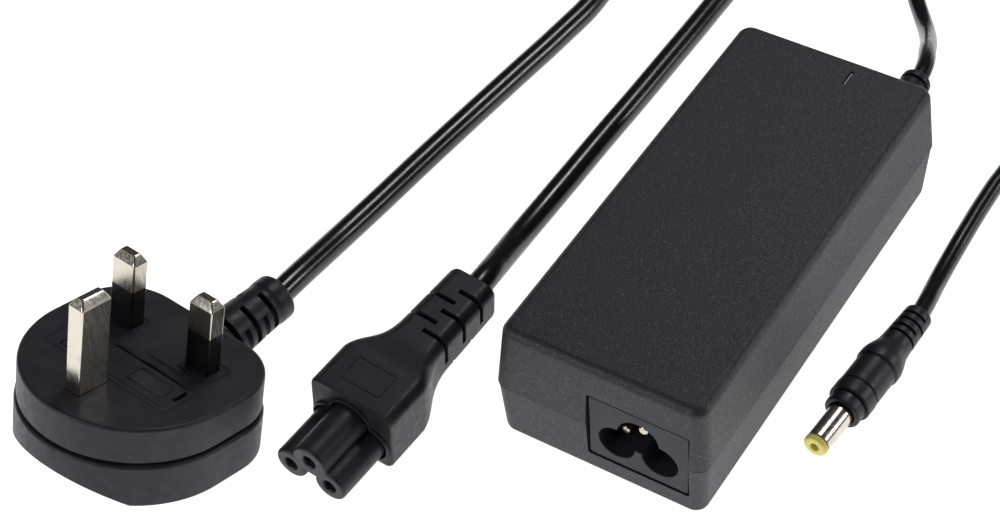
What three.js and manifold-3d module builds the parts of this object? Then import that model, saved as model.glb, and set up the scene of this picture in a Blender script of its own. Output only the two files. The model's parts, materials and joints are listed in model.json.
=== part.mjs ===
// Laptop power adapter: brick, captive low-voltage lead with barrel plug, and loose
// mains lead with a three-pole appliance connector and a British three-pin plug.
// Millimetres, +Z up. The origin is under the middle of the brick, on the surface it rests on;
// +Y runs along the brick from the mains inlet to the low-voltage gland.
import * as THREE from 'three';
import { mergeVertices } from 'three/addons/utils/BufferGeometryUtils.js';
import Module from 'manifold-3d';

const wasm = await Module();
wasm.setup();

// ---------------------------------------------------------------- driving dimensions
const GAP = 0.3;                 // clearance between pieces that touch
const CURVE = 4;                 // segments on each rounded corner
const ROUND = 20;                // segments around a small round piece

const brick = {
  width: 49.9, length: 109.8, height: 32, parting: 15.2, wall: 2, corner: 3.2, edge: 2,
  innerEdge: 1, topDraft: 1.4, bottomDraft: 0.8, lowerInset: 0.2,
};
const lip = { inset: 1.15, height: 1.2, corner: 2.2 };
const slit = { x: 5.5, y: 47.2, width: 1.1, length: 5 };

const board = { halfWidth: 20.4, front: -49.4, back: 50, bottom: 4.9, thickness: 1.6 };
const post = { radius: 2.4, x: 16, rows: [-31, 8, 46] };

const inlet = {
  x: 9.3, bottom: 6.1, width: 23, height: 17.6, face: -54, flange: 2.8, bodyBack: -37.5,
  bodyInset: 1, recess: 12.2,
};
// Three-pole appliance coupler, the same centres in the inlet and in the connector.
const coupler = {
  poleSpacing: 10, earthRise: 4.5, lobeRise: 3.85, lobe: 4.15, earthLobe: 4.8, notchRise: 0.1,
  pinRadius: 1.18, fit: 0.35,
};
const inletPole = { x: 9.2, z: 12.5 };
const inletPin = { lineTip: 3.7, earthTip: 2, back: -34.5 };

const gland = {
  x: 12.6, z: brick.parting, flange: 5.4, neck: 3.4, root: 4.2, end: 3.55, length: 16, groove: 0.55,
};
const dcCable = { diameter: 4.2 };
const mainsCable = { diameter: 6 };

const dcPlug = {
  tip: [37.2, -29.15, 5.15], yaw: -4.4, ahead: 0.8, barrel: 10.1, barrelRadius: 2.75, barrelBore: 2.25,
  contactRadius: 1.15, contactBore: 0.85, collarRadius: 4.1, collarEnd: 12.9, length: 42.8,
};

const connector = {
  position: [-47.8, -74.4, 9.15], roll: 4.5, yaw: -3.1, width: 21, height: 16.8, length: 11.3,
  chamfer: 2.5, neckStart: 25.5, neckWidth: 12.4, neckHeight: 11.6, endWidth: 11.8, endHeight: 11,
  total: 44, nose: 14.2, poleDrop: 2.2, contactBore: 0.85,
};

const ukPlug = {
  position: [-88.6, -82.7, 20.2], yaw: -6.5, tilt: 17.7, radius: 24.3, centre: -8.2, cableEnd: 12.9,
  corner: 12.8, faceDepth: 9.1, step: 0.4, depth: 19.6, faceEdge: 0.8, backEdge: 0.6,
};
// The slanting cut across the earth end's underside: a point on it, and its angle to the face.
const bevel = { y: -31.3, z: -16, angle: 30 };
const ukPin = {
  spacing: 22.2, width: 6.35, thickness: 4, length: 17.7, sleeve: 9.2, root: 5.5,
  earthWidth: 4, earthThickness: 8, earthLength: 22.7, earthOffset: -22.2, tip: 2, tipInset: 1.15,
};
const carrier = { x: 0.3, y: -12.1, length: 29, width: 8, depth: 10.4, lid: 1.8 };
const fuse = { radius: 3.15, length: 25.4, cap: 5.8, depth: 6.2 };
const relief = { start: [-88, -76.2, 7.75], root: 6.2, end: 5.2 };

const dcCoil = { x: 50.9, y: 129.8, inner: 15.1, outer: 33.1, height: 8.5 };
const mainsCoil = { x: -65.1, y: 149.8, inner: 26.9, outer: 45.1, height: 12.1 };

// Cable routes, chosen by hand; each ends on the line that touches its coil's outer turn.
const dcStartRoute = [
  [12.7, 71.2, 15.2], [12.3, 74.8, 15], [11.2, 79.2, 14.1], [9.2, 84.6, 12], [7.2, 90.2, 8.9],
  [5, 95.4, 6], [2.2, 100.8, 3.6], [-1.5, 106.4, 2.3], [-5.7, 112.2, 2.1], [-10.1, 119.4, 2.1],
  [-12.9, 127.8, 2.1], [-12.7, 137, 2.1], [-8.9, 145.8, 2.1], [-1.9, 152.8, 2.1], [7.5, 157.4, 2.1],
  [18.3, 159.4, 2.1], [29.3, 159.65, 2.1], [39.9, 159.65, 2.1], [50.9, 159.65, 2.1],
];
const dcEndRoute = [
  [81.8, 129.8, 6.3], [81.8, 120.8, 5.4], [81.3, 111.8, 3.5], [78.5, 102.4, 2.3], [71.4, 94.8, 2.1],
  [61.4, 89.8, 2.1], [51.4, 85.8, 2.1], [43.4, 80, 2.1], [39.2, 72.3, 2.1], [38.1, 63.8, 2.1],
  [37.9, 54.3, 2.1], [38.1, 44.8, 2.1], [38.5, 34.7, 2.15], [39.2, 25.6, 2.9], [40.05, 19.2, 4.3],
  [40.53, 13.95, 5.1],
];
const mainsPlugRoute = [
  [-84.15, -49.9, 6.5], [-84, -44.7, 6.1], [-84, -36.2, 4.9], [-83.9, -26.4, 3.6],
  [-83.1, -14.2, 3.02], [-81.5, 3.8, 3], [-79.7, 21.8, 3], [-77.8, 39.8, 3], [-76, 56.8, 3],
  [-75.1, 72.7, 3], [-77.3, 86.8, 3], [-83.7, 99.8, 3], [-93.5, 111.8, 3], [-102.5, 123.4, 3],
  [-106.8, 135.8, 3], [-107.1, 149.8, 3],
];
const mainsConnectorRoute = [
  [-26.1, 149.8, 9], [-26.8, 142.4, 9], [-28.9, 135.2, 9], [-32.4, 128.6, 9], [-36.6, 123.2, 8.9],
  [-40.8, 117.7, 8.6], [-44.4, 110.9, 6.8], [-46.6, 103.5, 4.6], [-47.5, 95.9, 3.3],
  [-47.8, 87.2, 3], [-47.8, 73.8, 3], [-47.9, 59.8, 3], [-48, 45.8, 3], [-48.3, 29.8, 3],
  [-48.4, 13.8, 3], [-48.5, -0.2, 3.1], [-48, -9.2, 4.2], [-46.6, -18.8, 6.8],
  [-45.6, -25.2, 8.7], [-45.38, -29.75, 9.15],
];

// ---------------------------------------------------------------- geometry helpers
const rad = THREE.MathUtils.degToRad;

function toManifold(geometry) {
  const bare = geometry.clone();
  bare.deleteAttribute('normal');
  bare.deleteAttribute('uv');
  const merged = mergeVertices(bare, 1e-4);
  return new wasm.Manifold(new wasm.Mesh({
    numProp: 3,
    vertProperties: Float32Array.from(merged.attributes.position.array),
    triVerts: Uint32Array.from(merged.index.array),
  }));
}

function toGeometry(manifold) {
  const mesh = manifold.getMesh();
  const geometry = new THREE.BufferGeometry();
  const points = new Float32Array(mesh.numVert * 3);
  for (let i = 0; i < mesh.numVert; i++) {
    for (let k = 0; k < 3; k++) points[3 * i + k] = mesh.vertProperties[i * mesh.numProp + k];
  }
  geometry.setAttribute('position', new THREE.BufferAttribute(points, 3));
  geometry.setIndex(new THREE.BufferAttribute(Uint32Array.from(mesh.triVerts), 1));
  geometry.computeVertexNormals();
  return geometry;
}

const join = (first, ...rest) => rest.reduce((sum, g) => sum.add(toManifold(g)), toManifold(first));

// Cuts every tool away from the base geometry.
function cut(base, ...tools) {
  let result = base instanceof THREE.BufferGeometry ? toManifold(base) : base;
  for (const tool of tools) {
    result = result.subtract(tool instanceof THREE.BufferGeometry ? toManifold(tool) : tool);
  }
  return result;
}

function block(x0, x1, y0, y1, z0, z1) {
  return new THREE.BoxGeometry(x1 - x0, y1 - y0, z1 - z0)
    .translate((x0 + x1) / 2, (y0 + y1) / 2, (z0 + z1) / 2);
}

// A round rod whose axis is 'x', 'y' or 'z', centred on (x, y, z).
function rod(axis, radius, length, x, y, z, segments = ROUND) {
  const geometry = new THREE.CylinderGeometry(radius, radius, length, segments);
  if (axis === 'x') geometry.rotateZ(Math.PI / 2);
  if (axis === 'z') geometry.rotateX(Math.PI / 2);
  return geometry.translate(x, y, z);
}

function roundedRectangle(width, height, radius) {
  const x = width / 2 - radius;
  const y = height / 2 - radius;
  const shape = new THREE.Shape();
  shape.absarc(x, -y, radius, -Math.PI / 2, 0);
  shape.absarc(x, y, radius, 0, Math.PI / 2);
  shape.absarc(-x, y, radius, Math.PI / 2, Math.PI);
  shape.absarc(-x, -y, radius, Math.PI, 1.5 * Math.PI);
  return shape;
}

// A shape pushed along +Z from z0 to z1, with a rounded edge of the given radius at both ends.
function prism(shape, z0, z1, edge = 0, edgeSegments = 2) {
  return new THREE.ExtrudeGeometry(shape, {
    depth: z1 - z0 - 2 * edge, curveSegments: CURVE, bevelEnabled: edge > 0,
    bevelThickness: edge, bevelSize: edge, bevelOffset: -edge, bevelSegments: edgeSegments,
  }).translate(0, 0, z0 + edge);
}

// A closed outline of [radius, height] points, turned about the Y axis.
function turned(profile, segments = ROUND) {
  let area = 0;
  for (let i = 0; i < profile.length; i++) {
    const [a, b] = [profile[i], profile[(i + 1) % profile.length]];
    area += a[0] * b[1] - b[0] * a[1];
  }
  const ordered = area > 0 ? profile : [...profile].reverse();
  const points = [...ordered, ordered[0]].map(([r, y]) => new THREE.Vector2(r, y));
  return new THREE.LatheGeometry(points, segments);
}

function polygon(points) {
  return new THREE.Shape(points.map(([x, y]) => new THREE.Vector2(x, y)));
}

// A round cable along a smooth curve through the route's points.
function cable(route, diameter, sides, steps) {
  const points = route.map((p) => new THREE.Vector3(...p));
  const curve = new THREE.CatmullRomCurve3(points, false, 'centripetal');
  const section = new THREE.Shape();
  section.absarc(0, 0, diameter / 2, 0, 2 * Math.PI);
  return new THREE.ExtrudeGeometry(section, {
    steps, extrudePath: curve, bevelEnabled: false, curveSegments: sides,
  });
}

// ---------------------------------------------------------------- materials and nodes
const paint = (color, roughness, metalness = 0) => ({ color, roughness, metalness });
const finish = {
  case: paint(0x303033, 0.62), mould: paint(0x1b1b1d, 0.5), cable: paint(0x141415, 0.35),
  inlet: paint(0x4a4a4d, 0.5), nickel: paint(0xd8d2c6, 0.25, 1), brass: paint(0xb98a4a, 0.35, 1),
  sleeve: paint(0x0f0f10, 0.4), yellow: paint(0xe3cf6d, 0.45), board: paint(0x2f6b3a, 0.6),
  tin: paint(0xb9bcbf, 0.35, 1), aluminium: paint(0xbfc2c5, 0.4, 1), can: paint(0x26262e, 0.4),
  ferrite: paint(0x2b2a2a, 0.7), tape: paint(0xd9b62c, 0.5), copper: paint(0xb5652b, 0.4, 1),
  chip: paint(0x1a1a1a, 0.6), film: paint(0xc79a2e, 0.5), disc: paint(0x2f62a8, 0.5),
  sheet: paint(0xe9e6dc, 0.6), ceramic: paint(0xe8e2d2, 0.5), clear: paint(0xdfe8ea, 0.2),
};

const group = new THREE.Group();

function addNode(name, shape, look, parent = group) {
  const geometry = shape instanceof THREE.BufferGeometry ? shape : toGeometry(shape);
  const mesh = new THREE.Mesh(geometry, new THREE.MeshStandardMaterial(finish[look]));
  mesh.name = name;
  parent.add(mesh);
}

// ---------------------------------------------------------------- brick shells
// A rounded block between two heights whose sides lean inward, away from the parting line.
function draftedBlock(inset, z0, z1, farHeight, draft, edge) {
  const halfWidth = brick.width / 2 - inset;
  const halfLength = brick.length / 2 - inset;
  const outline = roundedRectangle(2 * halfWidth, 2 * halfLength, Math.max(brick.corner - inset, 1.5));
  const geometry = prism(outline, z0, z1, edge);
  const position = geometry.attributes.position;
  for (let i = 0; i < position.count; i++) {
    const lean = draft * (position.getZ(i) - brick.parting) / (farHeight - brick.parting);
    position.setX(i, position.getX(i) * (1 - lean / halfWidth));
    position.setY(i, position.getY(i) * (1 - lean / halfLength));
  }
  return geometry;
}

const beyond = 4;                // how far a block runs past the parting line before it is trimmed
const reach = 80;                // half size of a block that trims everything on one side
const inletOpening = block(
  inlet.x - inlet.width / 2 - GAP, inlet.x + inlet.width / 2 + GAP, -reach, inlet.face + 8,
  inlet.bottom - GAP, inlet.bottom + inlet.height + GAP,
);
const glandOpening = rod('y', gland.neck + GAP, 12, gland.x, brick.length / 2, gland.z);

function lipBlock(clearance) {
  const inset = 2 * (brick.lowerInset + lip.inset - clearance);
  const outline = roundedRectangle(brick.width - inset, brick.length - inset, lip.corner);
  return prism(outline, brick.parting - 1, brick.parting + lip.height + clearance);
}

function upperCase() {
  const { parting, height, wall, topDraft, edge, innerEdge } = brick;
  const outer = draftedBlock(0, parting - beyond, height, height, topDraft, edge);
  const cavity = draftedBlock(wall, parting - beyond, height - wall, height, topDraft, innerEdge);
  const below = block(-reach, reach, -reach, reach, -reach, parting + GAP / 2);
  const lightSlit = block(
    slit.x - slit.width / 2, slit.x + slit.width / 2,
    slit.y - slit.length / 2, slit.y + slit.length / 2, height - wall - 1, height + 1,
  );
  return cut(outer, cavity, below, lipBlock(GAP), inletOpening, glandOpening, lightSlit);
}

function lowerCase() {
  const { parting, wall, bottomDraft, lowerInset, edge, innerEdge } = brick;
  const outer = draftedBlock(lowerInset, 0, parting + beyond, 0, bottomDraft, edge);
  const cavity = draftedBlock(lowerInset + wall, wall, parting + beyond, 0, bottomDraft, innerEdge);
  const above = block(-reach, reach, -reach, reach, parting - GAP / 2, reach);
  const tray = cut(outer, above).add(toManifold(lipBlock(0)));
  let shell = cut(tray, cavity, inletOpening, glandOpening);
  const postRoot = wall / 2;
  const postTop = board.bottom - GAP;
  for (const y of post.rows) {
    for (const x of [-post.x, post.x]) {
      const pillar = rod('z', post.radius, postTop - postRoot, x, y, (postTop + postRoot) / 2, 12);
      shell = shell.add(toManifold(pillar));
    }
  }
  return shell;
}

addNode('upper_case', upperCase(), 'case');
addNode('lower_case', lowerCase(), 'case');

// ---------------------------------------------------------------- appliance coupler shapes
// The three-lobed outline, standing in the XZ plane with its lower poles at the given centre.
function lobes(shrink, x, y0, y1, z) {
  const middle = (y0 + y1) / 2;
  const length = y1 - y0;
  const side = coupler.poleSpacing / 2;
  const upper = rod('y', coupler.earthLobe - shrink, length, x, middle, z + coupler.lobeRise, 32);
  const notchTop = z + coupler.notchRise + shrink;
  const belowNotch = block(x - reach, x + reach, y0 - 1, y1 + 1, z - reach, notchTop);
  const lower = [-side, side].map((dx) => (
    rod('y', coupler.lobe - shrink, length, x + dx, middle, z, 28)));
  return lower.reduce((sum, lobe) => sum.add(toManifold(lobe)), cut(upper, belowNotch));
}

const poles = {
  live: [-coupler.poleSpacing / 2, 0],
  neutral: [coupler.poleSpacing / 2, 0],
  earth: [0, coupler.earthRise],
};

// ---------------------------------------------------------------- mains inlet
function inletHousing() {
  const { x, bottom, width, height, face, flange, bodyBack, bodyInset, recess } = inlet;
  const half = width / 2;
  const housing = join(
    block(x - half, x + half, face, face + flange, bottom, bottom + height),
    block(x - half + bodyInset, x + half - bodyInset, face + flange - 0.5, bodyBack,
      bottom + bodyInset, bottom + height - bodyInset),
  );
  const holes = Object.values(poles).map(([dx, dz]) => (
    rod('y', coupler.pinRadius + GAP, 30, inletPole.x + dx, bodyBack, inletPole.z + dz, 16)));
  return cut(housing, lobes(0, inletPole.x, face - 1, face + recess, inletPole.z), ...holes);
}

// A round pin along Y with a domed tip that faces -Y.
function roundPin(radius, tipY, backY) {
  const dome = [[0, 0], [radius * 0.55, 0.2], [radius * 0.9, 0.65], [radius, 1.2]];
  const back = [[radius, backY - tipY], [0, backY - tipY]];
  return turned([...dome, ...back], 16).translate(0, tipY, 0);
}

addNode('inlet_housing', inletHousing(), 'inlet');
for (const [name, [dx, dz]] of Object.entries(poles)) {
  const tip = inlet.face + (name === 'earth' ? inletPin.earthTip : inletPin.lineTip);
  const pin = roundPin(coupler.pinRadius, tip, inletPin.back);
  addNode(`inlet_pin_${name}`, pin.translate(inletPole.x + dx, 0, inletPole.z + dz), 'nickel');
}

// ---------------------------------------------------------------- circuit board and what it carries
const deck = board.bottom + board.thickness + GAP;     // height that components stand on

// A capacitor or fuse can with a rolled groove near its root, standing on the board.
function uprightCan({ radius, height, x, y }) {
  const profile = [
    [0, 0], [radius - 0.4, 0], [radius, 0.5], [radius, 1.6], [radius - 0.4, 2], [radius, 2.4],
    [radius, height - 0.5], [radius - 0.5, height], [0, height],
  ];
  return turned(profile, 18).rotateX(Math.PI / 2).translate(x, y, deck);
}

// The same, lying along +Y.
function lyingCan({ radius, length, x, y }) {
  const profile = [
    [0, 0], [radius - 0.5, 0], [radius, 0.6], [radius, 2.4], [radius - 0.5, 3], [radius, 3.6],
    [radius, length - 0.6], [radius - 0.6, length], [0, length],
  ];
  return turned(profile, 24).translate(x, y, deck + radius + 0.1);
}

// A box-shaped component standing on the board, with rounded upright edges.
function standingBox({ width, depth, height, corner, x, y }) {
  return prism(roundedRectangle(width, depth, corner), deck, deck + height).translate(x, y, 0);
}

// A tab transistor standing against a heatsink at its left (-1) or right (1) side.
const tab = { halfBody: 2.2, halfWidth: 5, bodyTop: 9, reach: 1.5, half: 0.7, top: 15, hole: 1.6, lift: 2 };

function tabPackage({ x, y, side }) {
  const body = block(-tab.halfBody, tab.halfBody, -tab.halfWidth, tab.halfWidth, 0, tab.bodyTop);
  const middle = side * tab.reach;
  const plate = block(
    middle - tab.half, middle + tab.half, -tab.halfWidth, tab.halfWidth, tab.bodyTop - 0.5, tab.top);
  const hole = rod('x', tab.hole, 8, 0, 0, (tab.bodyTop + tab.top) / 2 + 0.2, 12);
  return cut(join(body, plate), hole).translate([x, y, deck + tab.lift]);
}

// A ring core with its winding in two halves.
const choke = { x: 9, y: -24, bore: 4, radius: 9, height: 8.5, wire: 0.8, halfSlot: 2.2 };

function chokeRing() {
  const { x, y, bore, radius, height, wire, halfSlot } = choke;
  const ringProfile = (grow) => [
    [bore - grow, -grow], [radius + grow, -grow],
    [radius + grow, height + grow], [bore - grow, height + grow],
  ];
  const ring = turned(ringProfile(0), 24).rotateX(Math.PI / 2);
  const winding = turned(ringProfile(wire), 24).rotateX(Math.PI / 2);
  const slot = block(-2 * radius, 2 * radius, -halfSlot, halfSlot, -2 * wire, height + 2 * wire);
  return toManifold(ring).add(cut(winding, slot)).translate([x, y, deck + wire + 0.1]);
}

const core = {
  x: -4, y: 27.5, width: 25, depth: 18, height: 20, leg: 4.2, window: 9.4, windowHeight: 13, overhang: 3,
};

function transformerCore() {
  const { width, depth, height, leg, window, windowHeight } = core;
  const low = (height - windowHeight) / 2;
  const blocks = block(-width / 2, width / 2, -depth / 2, depth / 2, 0, height);
  const windows = [-1, 1].map((side) => block(
    Math.min(side * leg, side * window), Math.max(side * leg, side * window),
    -depth, depth, low, low + windowHeight,
  ));
  return cut(blocks, ...windows).translate([core.x, core.y, deck]);
}

function transformerWinding() {
  const { depth, height, leg, window, windowHeight, overhang } = core;
  const low = (height - windowHeight) / 2 + GAP;
  const outline = roundedRectangle(2 * (window - GAP), depth + 2 * overhang, overhang);
  const outer = prism(outline, low, low + windowHeight - 2 * GAP);
  const inner = block(-leg - GAP, leg + GAP, -depth / 2 - GAP, depth / 2 + GAP, -reach, reach);
  return cut(outer, inner).translate([core.x, core.y, deck]);
}

// An upright plate with shallow grooves across one side.
const groove = { pitch: 4, depth: 0.6, width: 1.4 };

function heatsink({ x0, x1, y0, y1, top }) {
  const grooves = [];
  for (let z = deck + groove.pitch; z < top - 2; z += groove.pitch) {
    grooves.push(block(x0 - 1, x0 + groove.depth, y0 - 1, y1 + 1, z, z + groove.width));
  }
  return cut(block(x0, x1, y0, y1, deck, top), ...grooves);
}

function circuitBoard() {
  const { halfWidth, front, back, bottom, thickness } = board;
  const plate = block(-halfWidth, halfWidth, front, back, bottom, bottom + thickness);
  const notch = block(halfWidth - 2, halfWidth + 1, -30, -26, 0, deck);
  return cut(plate, notch);
}

// A folded plastic sheet over the components, open towards the board and at both ends.
const sheet = { halfWidth: 20.9, front: -33, back: 48.5, bottom: 8, top: 29.2, thickness: 0.5 };

function insulationSheet() {
  const { halfWidth, front, back, bottom, top, thickness } = sheet;
  const outer = block(-halfWidth, halfWidth, front, back, bottom, top);
  const inner = block(
    thickness - halfWidth, halfWidth - thickness, front - 1, back + 1, bottom - 1, top - thickness);
  const window = block(slit.x - 3.2, slit.x + 3.2, slit.y - 4, back + 1, top - 2, top + 1);
  return cut(outer, inner, window);
}

function safetyCapacitor() {
  const profile = [[0, 0], [3.6, 0], [4.1, 0.6], [4.1, 2.2], [3.6, 2.8], [0, 2.8]];
  return turned(profile, 18).rotateZ(Math.PI / 2).translate(-17, 44, deck + 4.3);
}

function statusLed() {
  const profile = [[0, 0], [1.9, 0], [1.9, 1], [1.5, 1], [1.5, 3.4], [1.1, 4.4], [0, 4.9]];
  return turned(profile, 16).rotateX(Math.PI / 2).translate(slit.x, slit.y, deck);
}

function lightGuide() {
  return block(
    slit.x - 0.25, slit.x + 0.25, slit.y - 2.2, slit.y + 2.2, deck + 5.2, brick.height - 0.3);
}

// Sizes and places of the plainer components, on the board.
const parts = {
  fuse: { radius: 4.2, height: 8, x: -14.5, y: -31 },
  film: { width: 14, depth: 8, height: 14, corner: 1, x: -12, y: -43 },
  bridge: { width: 15, depth: 3.6, height: 12, corner: 0.6, x: -10.5, y: -22 },
  reservoir: { radius: 8.8, length: 28, x: 10.6, y: -13.2 },
  controller: { width: 6, depth: 4, height: 1.6, corner: 0.3, x: -6, y: 8 },
  optocoupler: { width: 4.6, depth: 6, height: 3.6, corner: 0.3, x: -10.7, y: 46 },
  output1: { radius: 4, height: 16, x: -3.6, y: 44.4 },
  output2: { radius: 4, height: 16, x: 13.6, y: 44.4 },
  switch: { x: -14.8, y: -4, side: -1 },
  rectifier: { x: 14.9, y: 28, side: 1 },
  primarySink: { x0: -19.6, x1: -17.4, y0: -17, y1: 14, top: 26 },
  secondarySink: { x0: 17.6, x1: 19.8, y0: 19, y1: 41, top: 26 },
};

addNode('circuit_board', circuitBoard(), 'board');
addNode('board_fuse', uprightCan(parts.fuse), 'chip');
addNode('suppression_capacitor', standingBox(parts.film), 'film');
addNode('common_mode_choke', chokeRing(), 'copper');
addNode('bridge_rectifier', standingBox(parts.bridge), 'chip');
addNode('primary_capacitor', lyingCan(parts.reservoir), 'can');
addNode('primary_heatsink', heatsink(parts.primarySink), 'aluminium');
addNode('switching_transistor', tabPackage(parts.switch), 'chip');
addNode('controller_chip', standingBox(parts.controller), 'chip');
addNode('transformer_core', transformerCore(), 'ferrite');
addNode('transformer_winding', transformerWinding(), 'tape');
addNode('safety_capacitor', safetyCapacitor(), 'disc');
addNode('optocoupler', standingBox(parts.optocoupler), 'chip');
addNode('secondary_heatsink', heatsink(parts.secondarySink), 'aluminium');
addNode('output_rectifier', tabPackage(parts.rectifier), 'chip');
addNode('output_capacitor_1', uprightCan(parts.output1), 'can');
addNode('output_capacitor_2', uprightCan(parts.output2), 'can');
addNode('insulation_sheet', insulationSheet(), 'sheet');
addNode('status_led', statusLed(), 'clear');
addNode('light_guide', lightGuide(), 'clear');

// ---------------------------------------------------------------- low-voltage gland and lead
// A flange inside the wall, a neck through it, then a taper with one groove before its end ring.
function glandBody() {
  const { flange, neck, root, end, length } = gland;
  const inside = -brick.wall - 1;
  const grooved = end - gland.groove;
  const profile = [
    [0, inside - 1.6], [flange, inside - 1.6], [flange, inside], [neck, inside], [neck, GAP],
    [root, GAP], [root, 3], [end, length - 3.4], [end, length - 2.6], [grooved, length - 2.6],
    [grooved, length - 1.9], [end, length - 1.9], [end, length - 0.6], [end - 0.4, length], [0, length],
  ];
  return turned(profile).translate(gland.x, brick.length / 2, gland.z);
}

function coilRing(coil, clearance = 0) {
  const { inner, outer, height, x, y } = coil;
  const profile = [
    [inner - clearance, 0], [outer + clearance, 0],
    [outer + clearance, height + clearance], [inner - clearance, height + clearance],
  ];
  return turned(profile, 48).rotateX(Math.PI / 2).translate(x, y, 0);
}

addNode('dc_gland', glandBody(), 'mould');
const dcStart = cable(dcStartRoute, dcCable.diameter, 8, 22);
const dcEnd = cable(dcEndRoute, dcCable.diameter, 8, 18);
addNode('dc_cable_start', cut(dcStart, coilRing(dcCoil, GAP)), 'cable');
addNode('dc_cable_coil', coilRing(dcCoil), 'cable');
addNode('dc_cable_end', cut(dcEnd, coilRing(dcCoil, GAP)), 'cable');

// ---------------------------------------------------------------- barrel plug
// In this group the plug's axis is +Y, towards the cable; the tip is a little ahead of the origin.
const barrelPlug = new THREE.Group();
barrelPlug.position.set(...dcPlug.tip);
barrelPlug.rotation.z = rad(dcPlug.yaw);
group.add(barrelPlug);

const tube = (inner, outer, y0, y1, segments = ROUND) => (
  turned([[inner, y0], [outer, y0], [outer, y1], [inner, y1]], segments));

function tipInsulator() {
  const { barrelRadius, contactBore } = dcPlug;
  const bore = contactBore + 0.15;
  return turned([
    [bore, 0], [barrelRadius - 0.35, 0], [barrelRadius, 0.35], [barrelRadius, 1.1], [1.95, 1.1],
    [1.95, 11.5], [1.45, 11.5], [1.45, 1.1], [bore, 1.1],
  ]);
}

// A plain grip, a ridge, a taper and the strain relief.
function gripBody() {
  const { length, collarEnd } = dcPlug;
  const front = collarEnd + GAP;
  return turned([
    [0, front], [4.8, front], [4.8, 16.6], [4.6, 16.8], [4.6, 24.4], [5.05, 25], [5.05, 26.6], [4.7, 28],
    [3.8, 30.9], [3.6, 32.5], [3.15, length - 0.6], [2.8, length], [0, length],
  ], 24);
}

const { barrel, barrelBore, barrelRadius, contactBore, contactRadius, collarRadius, collarEnd } = dcPlug;
const ahead = [0, -dcPlug.ahead, 0];
const innerSleeve = tube(contactBore, contactRadius, 1.5, 11.5, 16).translate(...ahead);
const outerBarrel = tube(barrelBore, barrelRadius, 1.1 + GAP, 12.4).translate(...ahead);
addNode('dc_plug_inner_sleeve', innerSleeve, 'brass', barrelPlug);
addNode('dc_plug_tip_insulator', tipInsulator().translate(...ahead), 'yellow', barrelPlug);
addNode('dc_plug_barrel', outerBarrel, 'nickel', barrelPlug);
addNode('dc_plug_collar', tube(barrelRadius + GAP, collarRadius, barrel, collarEnd), 'mould', barrelPlug);
addNode('dc_plug_overmould', gripBody(), 'mould', barrelPlug);

// ---------------------------------------------------------------- appliance connector
// In this group -Y is the mating direction, +Y runs to the cable and the origin is the front
// of the body; the whole connector lies slightly rolled on its lower right edge.
const applianceConnector = new THREE.Group();
applianceConnector.position.set(...connector.position);
applianceConnector.rotation.set(0, rad(connector.roll), rad(connector.yaw), 'ZYX');
group.add(applianceConnector);

// One half of the outline, from the body's front to the end of the strain relief.
function flaredSide(half, neck, end) {
  const { length, neckStart, total } = connector;
  const points = [[half, 0], [half, length]];
  const bend = new THREE.CubicBezierCurve(
    new THREE.Vector2(half, length), new THREE.Vector2(half - 0.6, length + 5),
    new THREE.Vector2(neck + 0.3, neckStart - 8), new THREE.Vector2(neck, neckStart),
  );
  for (const p of bend.getPoints(7).slice(1)) points.push([p.x, p.y]);
  points.push([end, total]);
  return points;
}

function mirroredOutline(side) {
  return polygon([...side, ...side.map(([x, y]) => [-x, y]).reverse()]);
}

function connectorOvermould() {
  const { width, height, chamfer, neckWidth, neckHeight, endWidth, endHeight, total } = connector;
  const across = mirroredOutline(flaredSide(width / 2, neckWidth / 2, endWidth / 2));
  const upright = mirroredOutline(flaredSide(height / 2, neckHeight / 2, endHeight / 2));
  const plan = prism(across, -width, width);
  const elevation = prism(upright, -width, width).rotateY(Math.PI / 2);
  const a = width / 2;
  const b = height / 2;
  const c = chamfer;
  const octagon = polygon([
    [a - c, -b], [a, c - b], [a, b - c], [a - c, b], [c - a, b], [-a, b - c], [-a, c - b], [c - a, -b],
  ]);
  const trim = prism(octagon, -total - 1, 1).rotateX(Math.PI / 2);
  const socket = lobes(-GAP, 0, -1, 3, -connector.poleDrop);
  return toManifold(plan).intersect(toManifold(elevation)).intersect(toManifold(trim)).subtract(socket);
}

const contactHole = coupler.pinRadius + 0.45;

function connectorNose() {
  const { nose, poleDrop } = connector;
  const body = lobes(coupler.fit, 0, -nose, 2.6, -poleDrop);
  const holes = Object.values(poles).map(([dx, dz]) => (
    rod('y', contactHole, 3 * nose, dx, 0, dz - poleDrop, 16)));
  return cut(body, ...holes);
}

addNode('connector_overmould', connectorOvermould(), 'mould', applianceConnector);
addNode('connector_nose', connectorNose(), 'mould', applianceConnector);
for (const [name, [dx, dz]] of Object.entries(poles)) {
  const contact = tube(connector.contactBore, contactHole - GAP, 2 - connector.nose, 1.8, 12)
    .translate(dx, 0, dz - connector.poleDrop);
  addNode(`connector_contact_${name}`, contact, 'brass', applianceConnector);
}

// ---------------------------------------------------------------- mains cable
const connectorSide = cable(mainsConnectorRoute, mainsCable.diameter, 10, 20);
const plugSide = cable(mainsPlugRoute, mainsCable.diameter, 10, 16);
addNode('mains_cable_connector_side', cut(connectorSide, coilRing(mainsCoil, GAP)), 'cable');
addNode('mains_cable_coil', coilRing(mainsCoil), 'cable');
addNode('mains_cable_plug_side', cut(plugSide, coilRing(mainsCoil, GAP)), 'cable');

// ---------------------------------------------------------------- British three-pin plug
// In this group the pin-side face is z = 0, the pins point to +Z and the cable end faces +Y;
// the origin is midway between the live and neutral pins.
const threePinPlug = new THREE.Group();
threePinPlug.position.set(...ukPlug.position);
threePinPlug.rotation.set(-rad(ukPlug.tilt), 0, rad(ukPlug.yaw), 'ZYX');
threePinPlug.updateMatrix();
group.add(threePinPlug);

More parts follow.
